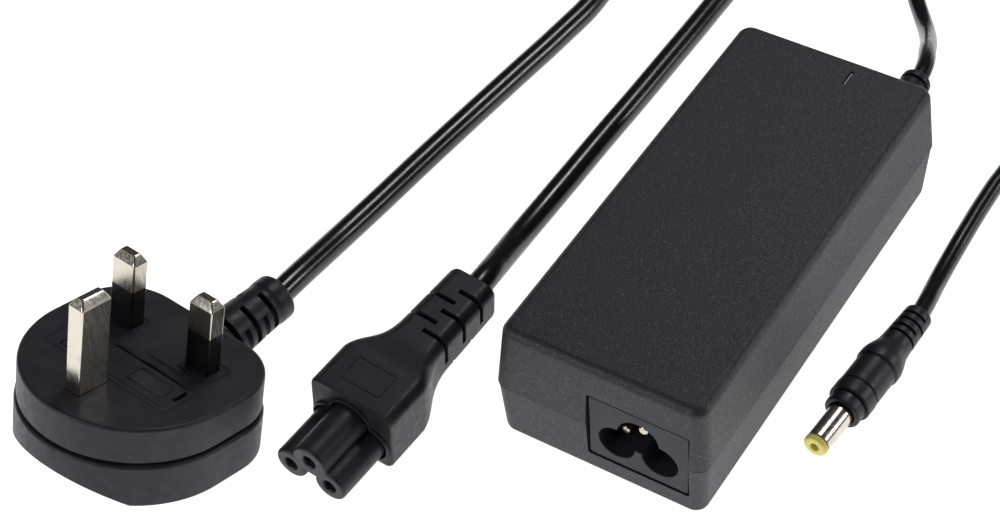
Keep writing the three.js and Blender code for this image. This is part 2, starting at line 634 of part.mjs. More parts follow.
// Half round at the earth end, straight sides, and a flat cable end with rounded corners.
function plugOutline(grow) {
  const { radius, centre, cableEnd, corner } = ukPlug;
  const r = radius + grow;
  const c = corner + grow;
  const shape = new THREE.Shape();
  shape.absarc(0, centre, r, Math.PI, 2 * Math.PI);
  shape.absarc(r - c, cableEnd + grow - c, c, 0, Math.PI / 2);
  shape.absarc(c - r, cableEnd + grow - c, c, Math.PI / 2, Math.PI);
  return shape;
}

function plugSlab(grow, z0, z1, edge) {
  return new THREE.ExtrudeGeometry(plugOutline(grow), {
    depth: z1 - z0 - 2 * edge, curveSegments: 10, bevelEnabled: edge > 0,
    bevelThickness: edge, bevelSize: edge, bevelOffset: -edge, bevelSegments: 2,
  }).translate(0, 0, z0 + edge);
}

// A hole for a pin of this width and thickness, in the pin-side shell.
function pinSlot(width, thickness, x, y) {
  return block(
    x - width / 2 - GAP, x + width / 2 + GAP, y - thickness / 2 - GAP, y + thickness / 2 + GAP,
    -ukPin.root - GAP, 5,
  );
}

const pinRow = { live: ukPin.spacing / 2, neutral: -ukPin.spacing / 2 };
const carrierWell = block(
  carrier.x - carrier.length / 2 - GAP, carrier.x + carrier.length / 2 + GAP,
  carrier.y - carrier.width / 2 - GAP, carrier.y + carrier.width / 2 + GAP, -carrier.depth - GAP, 5,
);

function plugFace() {
  const { faceDepth, faceEdge } = ukPlug;
  const slab = plugSlab(0, -faceDepth + GAP / 2, faceEdge, faceEdge);
  const inFront = block(-reach, reach, -reach, reach, 0, 5);
  const notch = block(14.8, 15.7, -12.9, -8.9, -1.6, 5);
  const pinSlots = Object.values(pinRow).map((x) => pinSlot(ukPin.width, ukPin.thickness, x, 0));
  const earthSlot = pinSlot(ukPin.earthWidth, ukPin.earthThickness, 0, ukPin.earthOffset);
  const clipSlots = [-1, 1].map((side) => clipPocket(side));
  return cut(slab, inFront, carrierWell, notch, ...pinSlots, earthSlot, ...clipSlots);
}

// The pocket under one end of the fuse, open to the carrier well.
function clipPocket(side) {
  const x = carrier.x + side * (fuse.length / 2 - fuse.cap / 2);
  return block(x - 2.4, x + 2.4, carrier.y - 5.6, carrier.y + 5.6, -ukPlug.faceDepth - 3.4, -2.6);
}

function plugBack() {
  const { faceDepth, step, depth, backEdge } = ukPlug;
  const slab = plugSlab(step, -depth, -faceDepth - GAP / 2, backEdge);
  // Grip on the hidden side: a blunt wedge that ends in the facet the plug lies on.
  const grip = new THREE.CylinderGeometry(17, 21, 7, 4).rotateX(-Math.PI / 2).rotateZ(Math.PI / 4)
    .scale(1, 0.85, 1).translate(0, -1.5, -depth - 3.2);
  const slope = block(-reach, reach, -reach, reach, -reach, 0)
    .rotateX(-rad(bevel.angle)).translate(0, bevel.y, bevel.z);
  const floor = block(-reach, reach, -reach, reach, -reach, 0.05)
    .applyMatrix4(threePinPlug.matrix.clone().invert().multiply(
      new THREE.Matrix4().makeTranslation(ukPlug.position[0], ukPlug.position[1], 0)));
  const clipSlots = [-1, 1].map((side) => clipPocket(side));
  return cut(join(slab, grip), slope, floor, carrierWell, ...clipSlots);
}

const sleeveWall = 0.65;

// A rectangular pin with a chamfered tip; a line pin has a neck for its sleeve.
function bladePin(width, thickness, length, neckLength) {
  const { root, tip, tipInset } = ukPin;
  const [halfX, halfY] = [width / 2, thickness / 2];
  const section = polygon([[-halfX, -halfY], [halfX, -halfY], [halfX, halfY], [-halfX, halfY]]);
  const blade = new THREE.ExtrudeGeometry(section, {
    depth: length + root - 2 * tip, bevelEnabled: true,
    bevelThickness: tip, bevelSize: tipInset, bevelOffset: -tipInset, bevelSegments: 1,
  }).translate(0, 0, tip - root);
  if (!neckLength) return toManifold(blade);
  const inset = sleeveWall + GAP;
  const collar = block(-width, width, -thickness, thickness, -2, neckLength);
  const neck = block(inset - halfX, halfX - inset, inset - halfY, halfY - inset, -3, neckLength + 1);
  return cut(blade, cut(collar, neck));
}

function pinSleeve() {
  const { width, thickness, sleeve } = ukPin;
  const outer = prism(roundedRectangle(width, thickness, 0.3), -2 + GAP, sleeve - GAP);
  const [boreX, boreY] = [width / 2 - sleeveWall, thickness / 2 - sleeveWall];
  const bore = block(-boreX, boreX, -boreY, boreY, -9, 30);
  return cut(outer, bore);
}

function fuseClip(side) {
  const x = carrier.x + side * (fuse.length / 2 - fuse.cap / 2);
  const half = fuse.radius + GAP;
  const outer = block(-2, 2, -half - 1, half + 1, -ukPlug.faceDepth - 3, -3);
  const inner = block(-3, 3, -half, half, -ukPlug.faceDepth - 2.2, 5);
  return cut(outer, inner).translate([x, carrier.y, 0]);
}

function carrierBody() {
  const { x, y, length, width, depth, lid } = carrier;
  const body = block(x - length / 2, x + length / 2, y - width / 2, y + width / 2, -depth, -0.05);
  const bed = rod('x', fuse.radius + GAP, fuse.length + 2 * GAP, x, y, -fuse.depth);
  const below = block(x - fuse.length / 2 - GAP, x + fuse.length / 2 + GAP,
    y - fuse.radius - GAP, y + fuse.radius + GAP, -depth - 1, -fuse.depth);
  const clipRoom = [-1, 1].map((side) => {
    const middle = x + side * (fuse.length / 2 - fuse.cap / 2);
    return block(middle - 2.4, middle + 2.4, y - width, y + width, -depth - 1, -lid - 0.5);
  });
  return cut(body, bed, below, ...clipRoom);
}

addNode('plug_face', plugFace(), 'mould', threePinPlug);
addNode('plug_back', plugBack(), 'mould', threePinPlug);
for (const [name, x] of Object.entries(pinRow)) {
  const pin = bladePin(ukPin.width, ukPin.thickness, ukPin.length, ukPin.sleeve).translate([x, 0, 0]);
  addNode(`plug_pin_${name}`, pin, 'nickel', threePinPlug);
  addNode(`plug_sleeve_${name}`, pinSleeve().translate([x, 0, 0]), 'sleeve', threePinPlug);
}
const earthPin = bladePin(ukPin.earthWidth, ukPin.earthThickness, ukPin.earthLength, 0);
addNode('plug_pin_earth', earthPin.translate([0, ukPin.earthOffset, 0]), 'nickel', threePinPlug);
addNode('fuse_clip_supply', fuseClip(-1), 'brass', threePinPlug);
addNode('fuse_clip_load', fuseClip(1), 'brass', threePinPlug);
addNode('fuse_carrier', carrierBody(), 'mould', threePinPlug);
const fuseMiddle = fuse.length - 2 * fuse.cap - 2 * GAP;
const ceramic = rod('x', fuse.radius - 0.35, fuseMiddle, carrier.x, carrier.y, -fuse.depth, 16);
addNode('fuse_body', ceramic, 'ceramic', threePinPlug);
for (const [name, side] of [['fuse_cap_supply', -1], ['fuse_cap_load', 1]]) {
  const x = carrier.x + side * (fuse.length - fuse.cap) / 2;
  addNode(name, rod('x', fuse.radius, fuse.cap, x, carrier.y, -fuse.depth, 16), 'tin', threePinPlug);
}

// Strain relief: leaves the tilted plug's cable end and lies level above the floor.
function plugStrainRelief() {
  const start = new THREE.Vector3(...relief.start);
  const axis = new THREE.Vector3(...mainsPlugRoute[0]).sub(start);
  const length = axis.length() - 2 * GAP;
  const { root, end } = relief;
  const profile = [
    [0, 0], [root, 0], [root - 0.1, 8], [end, length - 4], [end, length - 1],
    [end - 0.6, length], [0, length],
  ];
  const turn = new THREE.Quaternion().setFromUnitVectors(new THREE.Vector3(0, 1, 0), axis.normalize());
  const cone = turned(profile).applyQuaternion(turn).translate(...relief.start);
  const cableEnd = ukPlug.cableEnd + ukPlug.step + GAP;
  const inPlug = block(-reach, reach, -reach, cableEnd, -reach, reach).applyMatrix4(threePinPlug.matrix);
  return cut(cone, inPlug);
}

addNode('plug_strain_relief', plugStrainRelief(), 'mould');

export default group;
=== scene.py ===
# Looks of a laptop power adapter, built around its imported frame: the brick, the captive
# low-voltage lead with its barrel plug, and the loose mains lead with its two plugs.
# Shapes are drawn in millimetres in a local frame; routes and places are in metres.
import json
import math

import bmesh
import bpy
from mathutils import Matrix, Vector


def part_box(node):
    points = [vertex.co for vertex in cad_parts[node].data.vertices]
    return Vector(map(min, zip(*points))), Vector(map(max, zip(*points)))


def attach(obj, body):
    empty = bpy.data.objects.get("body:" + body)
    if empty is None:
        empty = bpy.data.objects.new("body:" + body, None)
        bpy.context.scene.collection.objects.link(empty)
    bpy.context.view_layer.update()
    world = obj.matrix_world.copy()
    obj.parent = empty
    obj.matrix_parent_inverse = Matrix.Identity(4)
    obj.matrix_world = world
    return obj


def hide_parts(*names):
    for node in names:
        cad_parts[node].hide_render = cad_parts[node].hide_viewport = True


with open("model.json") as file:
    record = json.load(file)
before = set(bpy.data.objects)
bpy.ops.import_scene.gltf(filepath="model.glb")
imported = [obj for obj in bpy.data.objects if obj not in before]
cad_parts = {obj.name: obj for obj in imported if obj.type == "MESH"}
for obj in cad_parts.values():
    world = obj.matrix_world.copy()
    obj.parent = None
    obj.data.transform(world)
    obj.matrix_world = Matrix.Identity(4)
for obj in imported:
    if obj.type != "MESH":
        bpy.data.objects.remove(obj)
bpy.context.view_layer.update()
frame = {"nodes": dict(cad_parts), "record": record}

MM = 0.001
SCALE = Matrix.Scale(MM, 4)
SMOOTH_ANGLE = math.radians(32)
GAP = 0.3                      # the frame's clearance between pieces that touch, in mm

# ------------------------------------------------------------------ places in the frame
mounts = {m["name"]: m for m in frame["record"]["mounts"]}


def turned_frame(origin, z_axis, x_axis):
    """A placement from a point and two perpendicular directions."""
    z_axis = Vector(z_axis).normalized()
    x_axis = Vector(x_axis).normalized()
    y_axis = z_axis.cross(x_axis)
    turn = Matrix((x_axis, y_axis, z_axis)).transposed().to_4x4()
    return Matrix.Translation(origin) @ turn


def from_mount(name, local_point, turn):
    """A placement whose local_point, in mm, lies on the mount."""
    origin = Vector(mounts[name]["pos_m"]) - turn @ (Vector(local_point) * MM)
    return Matrix.Translation(origin) @ turn.to_4x4()


def plug_placement():
    """Pins along local +Z, cable end towards +Y, origin midway between the line pins."""
    normal = Vector(mounts["plug_pin_face"]["axis"])
    turn = turned_frame((0, 0, 0), normal, normal.cross(Vector((0, 0, 1)))).to_3x3()
    return from_mount("plug_pin_face", (-16, -18.5, 0), turn)


def connector_placement(roll):
    """Nose along local -Y, origin in the middle of the body's front."""
    along = -Vector(mounts["connector_face"]["axis"])
    level = along.cross(Vector((0, 0, 1))).normalized()
    turn = turned_frame((0, 0, 0), level.cross(along), level).to_3x3() @ Matrix.Rotation(roll, 3, "Y")
    return from_mount("connector_face", (8.3, 0, 5.8), turn)


def barrel_placement():
    """Local +Y runs from the tip to the cable."""
    along = -Vector(mounts["barrel_plug_shoulder"]["axis"])
    level = along.cross(Vector((0, 0, 1))).normalized()
    turn = turned_frame((0, 0, 0), level.cross(along), level).to_3x3()
    return from_mount("barrel_plug_shoulder", (3.55, 10.1, 0), turn)


AT_BRICK = Matrix.Identity(4)
AT_PLUG = plug_placement()
CONNECTOR_ROLL = math.radians(4.5)          # it lies on its lower right edge
AT_CONNECTOR = connector_placement(CONNECTOR_ROLL)
AT_BARREL = barrel_placement()

# ------------------------------------------------------------------ driving sizes, mm
upper_low, upper_high = (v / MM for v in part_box("upper_case"))
lower_low, lower_high = (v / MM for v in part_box("lower_case"))
BRICK = {
    "width": upper_high.x - upper_low.x, "length": upper_high.y - upper_low.y,
    "height": upper_high.z, "parting": upper_low.z, "corner": 3.2, "edge": 2, "wall": 2,
    "top_draft": 1.4, "bottom_draft": 0.8, "lower_inset": 0.2, "lip": 1.35, "lip_rise": 1.2,
}
SLIT = {"x": 5.5, "y": 47.2, "width": 1.0, "length": 4.9, "guide": 0.5}
COUPLER = {"side": 5, "earth_rise": 4.5, "lobe": 4.15, "earth_lobe": 4.8, "lobe_rise": 3.85, "notch": 0.1}
POLES = {
    "live": (-COUPLER["side"], 0), "neutral": (COUPLER["side"], 0), "earth": (0, COUPLER["earth_rise"]),
}
PIN_RADIUS = 1.18
INLET_RECESS = 12.2
CABLE = {"dc": 0.0042, "mains": 0.006}
CONNECTOR = {
    "half_width": 10.5, "half_height": 8.4, "length": 11.3, "neck_start": 25.5, "neck_width": 6.2,
    "neck_height": 5.8, "end_width": 5.9, "end_height": 5.5, "total": 44, "nose": 14.2, "pole_drop": 2.2,
}
PLUG = {
    "radius": 24.3, "centre": -8.2, "cable_end": 12.9, "corner": 12.8, "face_depth": 9.1, "step": 0.4,
    "depth": 19.6, "edge": 0.8, "bevel": (-31.3, -16), "bevel_angle": 30,
}
BLADE = {
    "spacing": 22.2, "width": 6.35, "thickness": 4, "length": 17.7, "sleeve": 9.2, "root": 5.5,
    "earth_width": 4, "earth_thickness": 8, "earth_length": 22.7, "earth_y": -22.2, "tip": 2, "inset": 1.15,
}
CARRIER = {"x": 0.3, "y": -12.1, "length": 29, "width": 8, "depth": 10.4, "lid": 1.8, "play": 0.18}
FUSE = {"radius": 3.15, "length": 25.4, "cap": 5.8, "depth": 6.2}

# ------------------------------------------------------------------ camera
CAMERA = {
    "place": (0.15226, -0.29917, 0.37524), "azimuth": 35.278, "elevation": 47.02,
    "roll": -4.537, "lens": 81.43,
}


def make_camera():
    azimuth, elevation, roll = (math.radians(CAMERA[k]) for k in ("azimuth", "elevation", "roll"))
    back = Vector((
        math.sin(azimuth) * math.cos(elevation),
        -math.cos(azimuth) * math.cos(elevation),
        math.sin(elevation),
    ))
    level = Vector((math.cos(azimuth), math.sin(azimuth), 0))
    right = math.cos(roll) * level + math.sin(roll) * back.cross(level)
    camera = bpy.data.objects.new("camera", bpy.data.cameras.new("camera"))
    bpy.context.scene.collection.objects.link(camera)
    turn = Matrix((right, back.cross(right), back)).transposed().to_4x4()
    camera.matrix_world = Matrix.Translation(CAMERA["place"]) @ turn
    camera.data.sensor_width = 36
    camera.data.lens = CAMERA["lens"]
    camera.data.clip_start = 0.01
    bpy.context.scene.camera = camera


make_camera()


# ------------------------------------------------------------------ materials
class Finish:
    """A procedural material. Patterns follow the object's own coordinates, in metres."""

    def __init__(self, name, color, roughness, metallic=0.0, **sockets):
        self.material = bpy.data.materials.new(name)
        self.material.use_nodes = True
        self.nodes = self.material.node_tree.nodes
        self.links = self.material.node_tree.links
        self.shader = self.nodes["Principled BSDF"]
        self.shader.inputs["Base Color"].default_value = (*color, 1)
        self.shader.inputs["Roughness"].default_value = roughness
        self.shader.inputs["Metallic"].default_value = metallic
        for socket, value in sockets.items():
            self.shader.inputs[socket.replace("_", " ")].default_value = value
        self.color = color
        self.position = self.nodes.new("ShaderNodeTexCoord").outputs["Object"]

    def noise(self, size, detail=3.0, stretch=(1, 1, 1)):
        """Smooth noise whose features are about size mm across."""
        mapping = self.nodes.new("ShaderNodeMapping")
        mapping.inputs["Scale"].default_value = stretch
        texture = self.nodes.new("ShaderNodeTexNoise")
        texture.inputs["Scale"].default_value = 1 / (size * MM)
        texture.inputs["Detail"].default_value = detail
        self.links.new(self.position, mapping.inputs["Vector"])
        self.links.new(mapping.outputs["Vector"], texture.inputs["Vector"])
        return texture.outputs["Fac"]

    def specks(self, size):
        """A different random value in each cell of about size mm."""
        cells = self.nodes.new("ShaderNodeTexVoronoi")
        cells.inputs["Scale"].default_value = 1 / (size * MM)
        self.links.new(self.position, cells.inputs["Vector"])
        split = self.nodes.new("ShaderNodeSeparateColor")
        self.links.new(cells.outputs["Color"], split.inputs["Color"])
        return split.outputs["Red"]

    def stretch(self, value, low, high, to_low=0.0, to_high=1.0):
        """Maps value between low and high to another range, clamped."""
        remap = self.nodes.new("ShaderNodeMapRange")
        limits = {"From Min": low, "From Max": high, "To Min": to_low, "To Max": to_high}
        for socket, limit in limits.items():
            remap.inputs[socket].default_value = limit
        self.links.new(value, remap.inputs["Value"])
        return remap.outputs["Result"]

    def mottle(self, value, low, high, factor):
        """Moves the colour towards factor times itself as value goes from low to high."""
        mix = self.nodes.new("ShaderNodeMix")
        mix.data_type = "RGBA"
        source = self.shader.inputs["Base Color"]
        if source.is_linked:
            self.links.new(source.links[0].from_socket, mix.inputs["A"])
        else:
            mix.inputs["A"].default_value = source.default_value
        mix.inputs["B"].default_value = (*(min(1, c * factor) for c in self.color), 1)
        self.links.new(self.stretch(value, low, high), mix.inputs["Factor"])
        self.links.new(mix.outputs["Result"], source)

    def vary_roughness(self, value, low, high):
        self.links.new(self.stretch(value, 0.3, 0.7, low, high), self.shader.inputs["Roughness"])

    def bump(self, value, depth, strength=1.0):
        """Raises the surface by value times depth, in mm, on top of any earlier bump."""
        bump = self.nodes.new("ShaderNodeBump")
        bump.inputs["Distance"].default_value = depth * MM
        bump.inputs["Strength"].default_value = strength
        self.links.new(value, bump.inputs["Height"])
        target = self.shader.inputs["Normal"]
        if target.is_linked:
            self.links.new(target.links[0].from_socket, bump.inputs["Normal"])
        self.links.new(bump.outputs["Normal"], target)


def case_finish():
    """Spark-eroded charcoal plastic with pale specks."""
    finish = Finish("case_plastic", (0.012, 0.012, 0.0158), 0.52)
    grain = finish.noise(0.42, 4)
    finish.mottle(grain, 0.42, 0.68, 2.1)
    finish.mottle(finish.noise(9, 2), 0.35, 0.7, 1.25)
    finish.mottle(finish.specks(0.32), 0.9, 1.0, 5.0)
    finish.vary_roughness(grain, 0.62, 0.42)
    finish.bump(grain, 0.09)
    finish.bump(finish.noise(0.16, 2), 0.03)
    return finish.material


def satin_finish(name, color, roughness, grain_size=0.25, depth=0.012):
    """Smooth moulded plastic: a fine grain, faint cloudiness and uneven gloss."""
    finish = Finish(name, color, roughness, Specular_IOR_Level=0.3)
    finish.mottle(finish.noise(4, 3), 0.38, 0.66, 1.45)
    finish.mottle(finish.noise(0.5, 2), 0.55, 0.75, 1.3)
    finish.vary_roughness(finish.noise(1.6, 4), roughness - 0.06, roughness + 0.09)
    finish.bump(finish.noise(grain_size, 3), depth)
    return finish.material


def jacket_finish():
    """Glossy black cable jacket, slightly uneven from the extruder."""
    finish = Finish("cable_jacket", (0.006, 0.006, 0.007), 0.24)
    finish.mottle(finish.noise(6, 2), 0.4, 0.7, 1.5)
    finish.vary_roughness(finish.noise(2.2, 3), 0.2, 0.28)
    finish.bump(finish.noise(1.8, 2), 0.015)
    finish.bump(finish.noise(0.18, 2), 0.004)
    return finish.material


def metal_finish(name, color, roughness, streak=(1, 1, 1)):
    """Plated metal with fine drawn streaks and a few duller patches."""
    finish = Finish(name, color, roughness, 1.0)
    streaks = finish.noise(0.6, 2, streak)
    finish.mottle(finish.noise(3, 3), 0.5, 0.8, 0.8)
    finish.vary_roughness(streaks, roughness - 0.03, roughness + 0.07)
    finish.bump(streaks, 0.0008)
    return finish.material


def plain_finish(name, color, roughness, size=0.8, metallic=0.0, **sockets):
    """A hidden piece's material: its colour, mottled, with a fine grain."""
    finish = Finish(name, color, roughness, metallic, **sockets)
    finish.mottle(finish.noise(size, 3), 0.4, 0.7, 0.78)
    finish.bump(finish.noise(size / 3, 2), 0.01)
    return finish.material


def winding_finish(name, color, metallic, wire):
    """Turns of wire or tape, as fine parallel ridges."""
    finish = Finish(name, color, 0.35, metallic)
    wave = finish.nodes.new("ShaderNodeTexWave")
    wave.inputs["Scale"].default_value = 0.3 / (wire * MM)
    wave.inputs["Distortion"].default_value = 0.4
    finish.links.new(finish.position, wave.inputs["Vector"])
    finish.mottle(wave.outputs["Fac"], 0.0, 0.5, 0.6)
    finish.bump(wave.outputs["Fac"], wire / 4)
    return finish.material


MATERIALS = {
    "case_plastic": case_finish(),
    "inlet_plastic": satin_finish("inlet_plastic", (0.018, 0.018, 0.024), 0.42),
    "moulding": satin_finish("moulding", (0.016, 0.016, 0.0205), 0.42),
    "plug_plastic": satin_finish("plug_plastic", (0.0195, 0.0195, 0.024), 0.46, 0.3, 0.018),
    "cable_jacket": jacket_finish(),
    "pin_sleeve": satin_finish("pin_sleeve", (0.005, 0.005, 0.006), 0.3),
    "nickel_plate": metal_finish("nickel_plate", (0.62, 0.57, 0.5), 0.2, (1, 1, 0.12)),
    "contact_brass": metal_finish("contact_brass", (0.72, 0.47, 0.18), 0.3),
    "tip_plastic": satin_finish("tip_plastic", (0.85, 0.68, 0.18), 0.34),
    "board": plain_finish("board", (0.02, 0.14, 0.05), 0.4),
    "chip": plain_finish("chip", (0.014, 0.014, 0.015), 0.55),
    "film_capacitor": plain_finish("film_capacitor", (0.55, 0.33, 0.04), 0.4),
    "disc_capacitor": plain_finish("disc_capacitor", (0.03, 0.12, 0.42), 0.35),
    "copper_winding": winding_finish("copper_winding", (0.75, 0.32, 0.12), 1.0, 0.5),
    "capacitor_sleeve": plain_finish("capacitor_sleeve", (0.02, 0.02, 0.035), 0.3, 2),
    "heatsink": metal_finish("heatsink", (0.66, 0.67, 0.68), 0.34, (1, 0.1, 1)),
    "ferrite": plain_finish("ferrite", (0.035, 0.032, 0.032), 0.6),
    "winding_tape": winding_finish("winding_tape", (0.75, 0.53, 0.05), 0.0, 2.5),
    "insulation": plain_finish("insulation", (0.74, 0.71, 0.64), 0.5, 3),
    "clear_plastic": plain_finish("clear_plastic", (0.3, 0.32, 0.33), 0.25, 1),
    "fuse_ceramic": plain_finish("fuse_ceramic", (0.74, 0.69, 0.58), 0.6),
    "fuse_cap_tin": metal_finish("fuse_cap_tin", (0.66, 0.66, 0.66), 0.3),
}


# ------------------------------------------------------------------ outlines
def softened(points, steps=5):
    """A closed outline whose corners are rounded. A point is (x, y) or (x, y, reach), where
    reach is how far from the corner the rounding starts."""
    outline = []
    for i, point in enumerate(points):
        corner = Vector(point[:2])
        if len(point) == 2:
            outline.append(corner)
            continue
        before = (Vector(points[i - 1][:2]) - corner).normalized() * point[2]
        after = (Vector(points[(i + 1) % len(points)][:2]) - corner).normalized() * point[2]
        for step in range(steps + 1):
            t = step / steps
            outline.append(corner + before * (1 - t) ** 2 + after * t ** 2)
    return outline


def arc(x, y, radius, start, end, steps):
    """Points on a circle, between two angles in degrees."""
    angles = [math.radians(start + (end - start) * i / steps) for i in range(steps + 1)]
    return [Vector((x + radius * math.cos(a), y + radius * math.sin(a))) for a in angles]


def rounded_rectangle(half_width, half_length, radius, steps=8):
    x = half_width - radius
    y = half_length - radius
    corners = [(x, -y, -90), (x, y, 0), (-x, y, 90), (-x, -y, 180)]
    return [p for cx, cy, start in corners for p in arc(cx, cy, radius, start, start + 90, steps)]


def lobed_outline(shrink=0.0):
    """The coupler's three lobes, round the middle between the two lower poles."""
    side = COUPLER["side"]
    lobe = COUPLER["lobe"] - shrink
    top = COUPLER["earth_lobe"] - shrink
    rise = COUPLER["lobe_rise"]
    notch = math.degrees(math.asin((COUPLER["notch"] + shrink) / lobe))
    apart = math.hypot(side, rise)
    slope = math.degrees(math.atan2(rise, side))
    at_lobe = math.degrees(math.acos((lobe ** 2 + apart ** 2 - top ** 2) / (2 * lobe * apart)))
    at_top = math.degrees(math.acos((top ** 2 + apart ** 2 - lobe ** 2) / (2 * top * apart)))
    left = arc(-side, 0, lobe, notch, slope + at_lobe - 360, 40)
    over = arc(0, rise, top, 180 + slope - at_top, -slope + at_top, 32)
    right = [Vector((-p.x, p.y)) for p in reversed(left)]
    return left + over + right


def plug_outline(grow, steps=36):
    """Half round at the earth end, straight sides and a flat cable end."""
    r = PLUG["radius"] + grow
    c = PLUG["corner"] + grow
    end = PLUG["cable_end"] + grow
    return (
        arc(0, PLUG["centre"], r, 180, 360, 2 * steps)
        + arc(r - c, end - c, c, 0, 90, steps // 3)
        + arc(c - r, end - c, c, 90, 180, steps // 3)
    )


# ------------------------------------------------------------------ solids
def solid(name, rings):
    """A closed solid through rings of the same number of points, capped at both ends."""
    count = len(rings[0])
    points = [tuple(p) for ring in rings for p in ring]
    faces = [tuple(reversed(range(count))), tuple(range(len(points) - count, len(points)))]
    for level in range(len(rings) - 1):
        for i in range(count):
            a = level * count + i
            b = level * count + (i + 1) % count
            faces.append((a, b, b + count, a + count))
    mesh = bpy.data.meshes.new(name)
    mesh.from_pydata(points, [], faces)
    mesh.validate()
    shape = bpy.data.objects.new(name, mesh)
    bpy.context.scene.collection.objects.link(shape)
    outward(mesh)
    return shape


def outward(mesh):
    """Turns a closed mesh's faces outward."""
    work = bmesh.new()
    work.from_mesh(mesh)
    bmesh.ops.recalc_face_normals(work, faces=work.faces)
    work.to_mesh(mesh)
    work.free()


def prism(name, outline, low, high, edge=0.0, steps=4):
    """outline(inset) pushed from low to high along Z, with rounded edges."""
    angles = [math.pi / 2 * i / steps for i in range(steps + 1)] if edge else [0]
    levels = [(low + edge * (1 - math.cos(a)), edge * (1 - math.sin(a))) for a in angles]
    levels += [(high - edge * (1 - math.cos(a)), edge * (1 - math.sin(a))) for a in reversed(angles)]
    return solid(name, [[(p.x, p.y, z) for p in outline(inset)] for z, inset in levels])


def slab(name, half_x, half_y, low, high, centre=(0, 0), radius=0.4, edge=0.2):
    """A rounded block round a centre."""
    def outline(inset):
        corner = max(radius - inset, 0.05)
        return [p + Vector(centre) for p in rounded_rectangle(half_x - inset, half_y - inset, corner, 4)]
    return prism(name, outline, low, high, edge, 3)


def crate(name, low, high):
    """A plain block between two corners, for cutting."""
    x0, y0, z0 = low
    x1, y1, z1 = high
    ring = [(x0, y0), (x1, y0), (x1, y1), (x0, y1)]
    return solid(name, [[(x, y, z) for x, y in ring] for z in (z0, z1)])


def turned(name, profile, segments=72):
    """A closed outline of (radius, y) points turned about the Y axis."""
    points, rows = [], []
    for radius, y in profile:
        if radius < 1e-6:
            rows.append([len(points)] * segments)
            points.append((0, y, 0))
            continue
        rows.append(list(range(len(points), len(points) + segments)))
        for i in range(segments):
            angle = 2 * math.pi * i / segments
            points.append((radius * math.cos(angle), y, radius * math.sin(angle)))
    faces = []
    for a, b in zip(rows, rows[1:] + rows[:1]):
        for i in range(segments):
            j = (i + 1) % segments
            corners = list(dict.fromkeys([a[i], a[j], b[j], b[i]]))
            if len(corners) > 2:
                faces.append(corners)
    mesh = bpy.data.meshes.new(name)
    mesh.from_pydata(points, [], faces)
    mesh.validate()
    outward(mesh)
    shape = bpy.data.objects.new(name, mesh)
    bpy.context.scene.collection.objects.link(shape)
    return shape


def ring_sector(name, inner, outer, y0, y1, middle, span, steps=24):
    """Part of a ring about the Y axis, for cutting a slot. Angles are in degrees, from +X to +Z."""
    start, end = middle - span / 2, middle + span / 2
    outline = arc(0, 0, outer, start, end, steps) + arc(0, 0, inner, end, start, steps)
    return solid(name, [[(p.x, y, p.y) for p in outline] for y in (y0, y1)])


def changed(shape, *tools, operation="DIFFERENCE"):
    """Cuts the tools from a shape, or joins them to it, and removes them."""
    for tool in tools:
        modifier = shape.modifiers.new("tool", "BOOLEAN")
        modifier.object = tool
        modifier.operation = operation
        modifier.solver = "EXACT"
    settle(shape)
    for tool in tools:
        bpy.data.objects.remove(tool)
    return shape


def settle(shape):
    """Applies a shape's modifiers."""
    graph = bpy.context.evaluated_depsgraph_get()
    mesh = bpy.data.meshes.new_from_object(shape.evaluated_get(graph))
    shape.modifiers.clear()
    shape.data = mesh


def piece(shape, placement, body, slot, *nodes):
    """Places a finished shape in the frame, with its material, body and CAD nodes."""
    shape.data.transform(placement @ SCALE)
    shape.data.materials.clear()
    shape.data.materials.append(MATERIALS[slot])
    shape.data.shade_smooth()
    shape.data.set_sharp_from_angle(angle=SMOOTH_ANGLE)
    weigh = shape.modifiers.new("even_normals", "WEIGHTED_NORMAL")
    weigh.keep_sharp = True
    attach(shape, body)
    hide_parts(*nodes)
    return shape


# ------------------------------------------------------------------ cables
# Routes given in metres; each ends on the line that touches its coil's outer turn.
DC_START = [
    (0.0127, 0.0712, 0.0152), (0.0123, 0.0748, 0.015), (0.0112, 0.0792, 0.0141), (0.0092, 0.0846, 0.012),
    (0.0072, 0.0902, 0.0089), (0.005, 0.0954, 0.006), (0.0022, 0.1008, 0.0036), (-0.0015, 0.1064, 0.0023),
    (-0.0057, 0.1122, 0.0021), (-0.0101, 0.1194, 0.0021), (-0.0129, 0.1278, 0.0021),
    (-0.0127, 0.137, 0.0021), (-0.0089, 0.1458, 0.0021), (-0.0019, 0.1528, 0.0021),
    (0.0075, 0.1574, 0.0021), (0.0183, 0.1594, 0.0021), (0.0293, 0.15965, 0.0021),
    (0.0399, 0.15965, 0.0021),
]
DC_END = [
    (0.0818, 0.1208, 0.0054), (0.0813, 0.1118, 0.0035), (0.0785, 0.1024, 0.0023),
    (0.0714, 0.0948, 0.0021), (0.0614, 0.0898, 0.0021), (0.0514, 0.0858, 0.0021), (0.0434, 0.08, 0.0021),
    (0.0392, 0.0723, 0.0021), (0.0381, 0.0638, 0.0021), (0.0379, 0.0543, 0.0021),
    (0.0381, 0.0448, 0.0021), (0.0385, 0.0347, 0.00215), (0.0392, 0.0256, 0.0029),
    (0.04005, 0.0192, 0.0043), (0.04053, 0.01395, 0.0051),
]
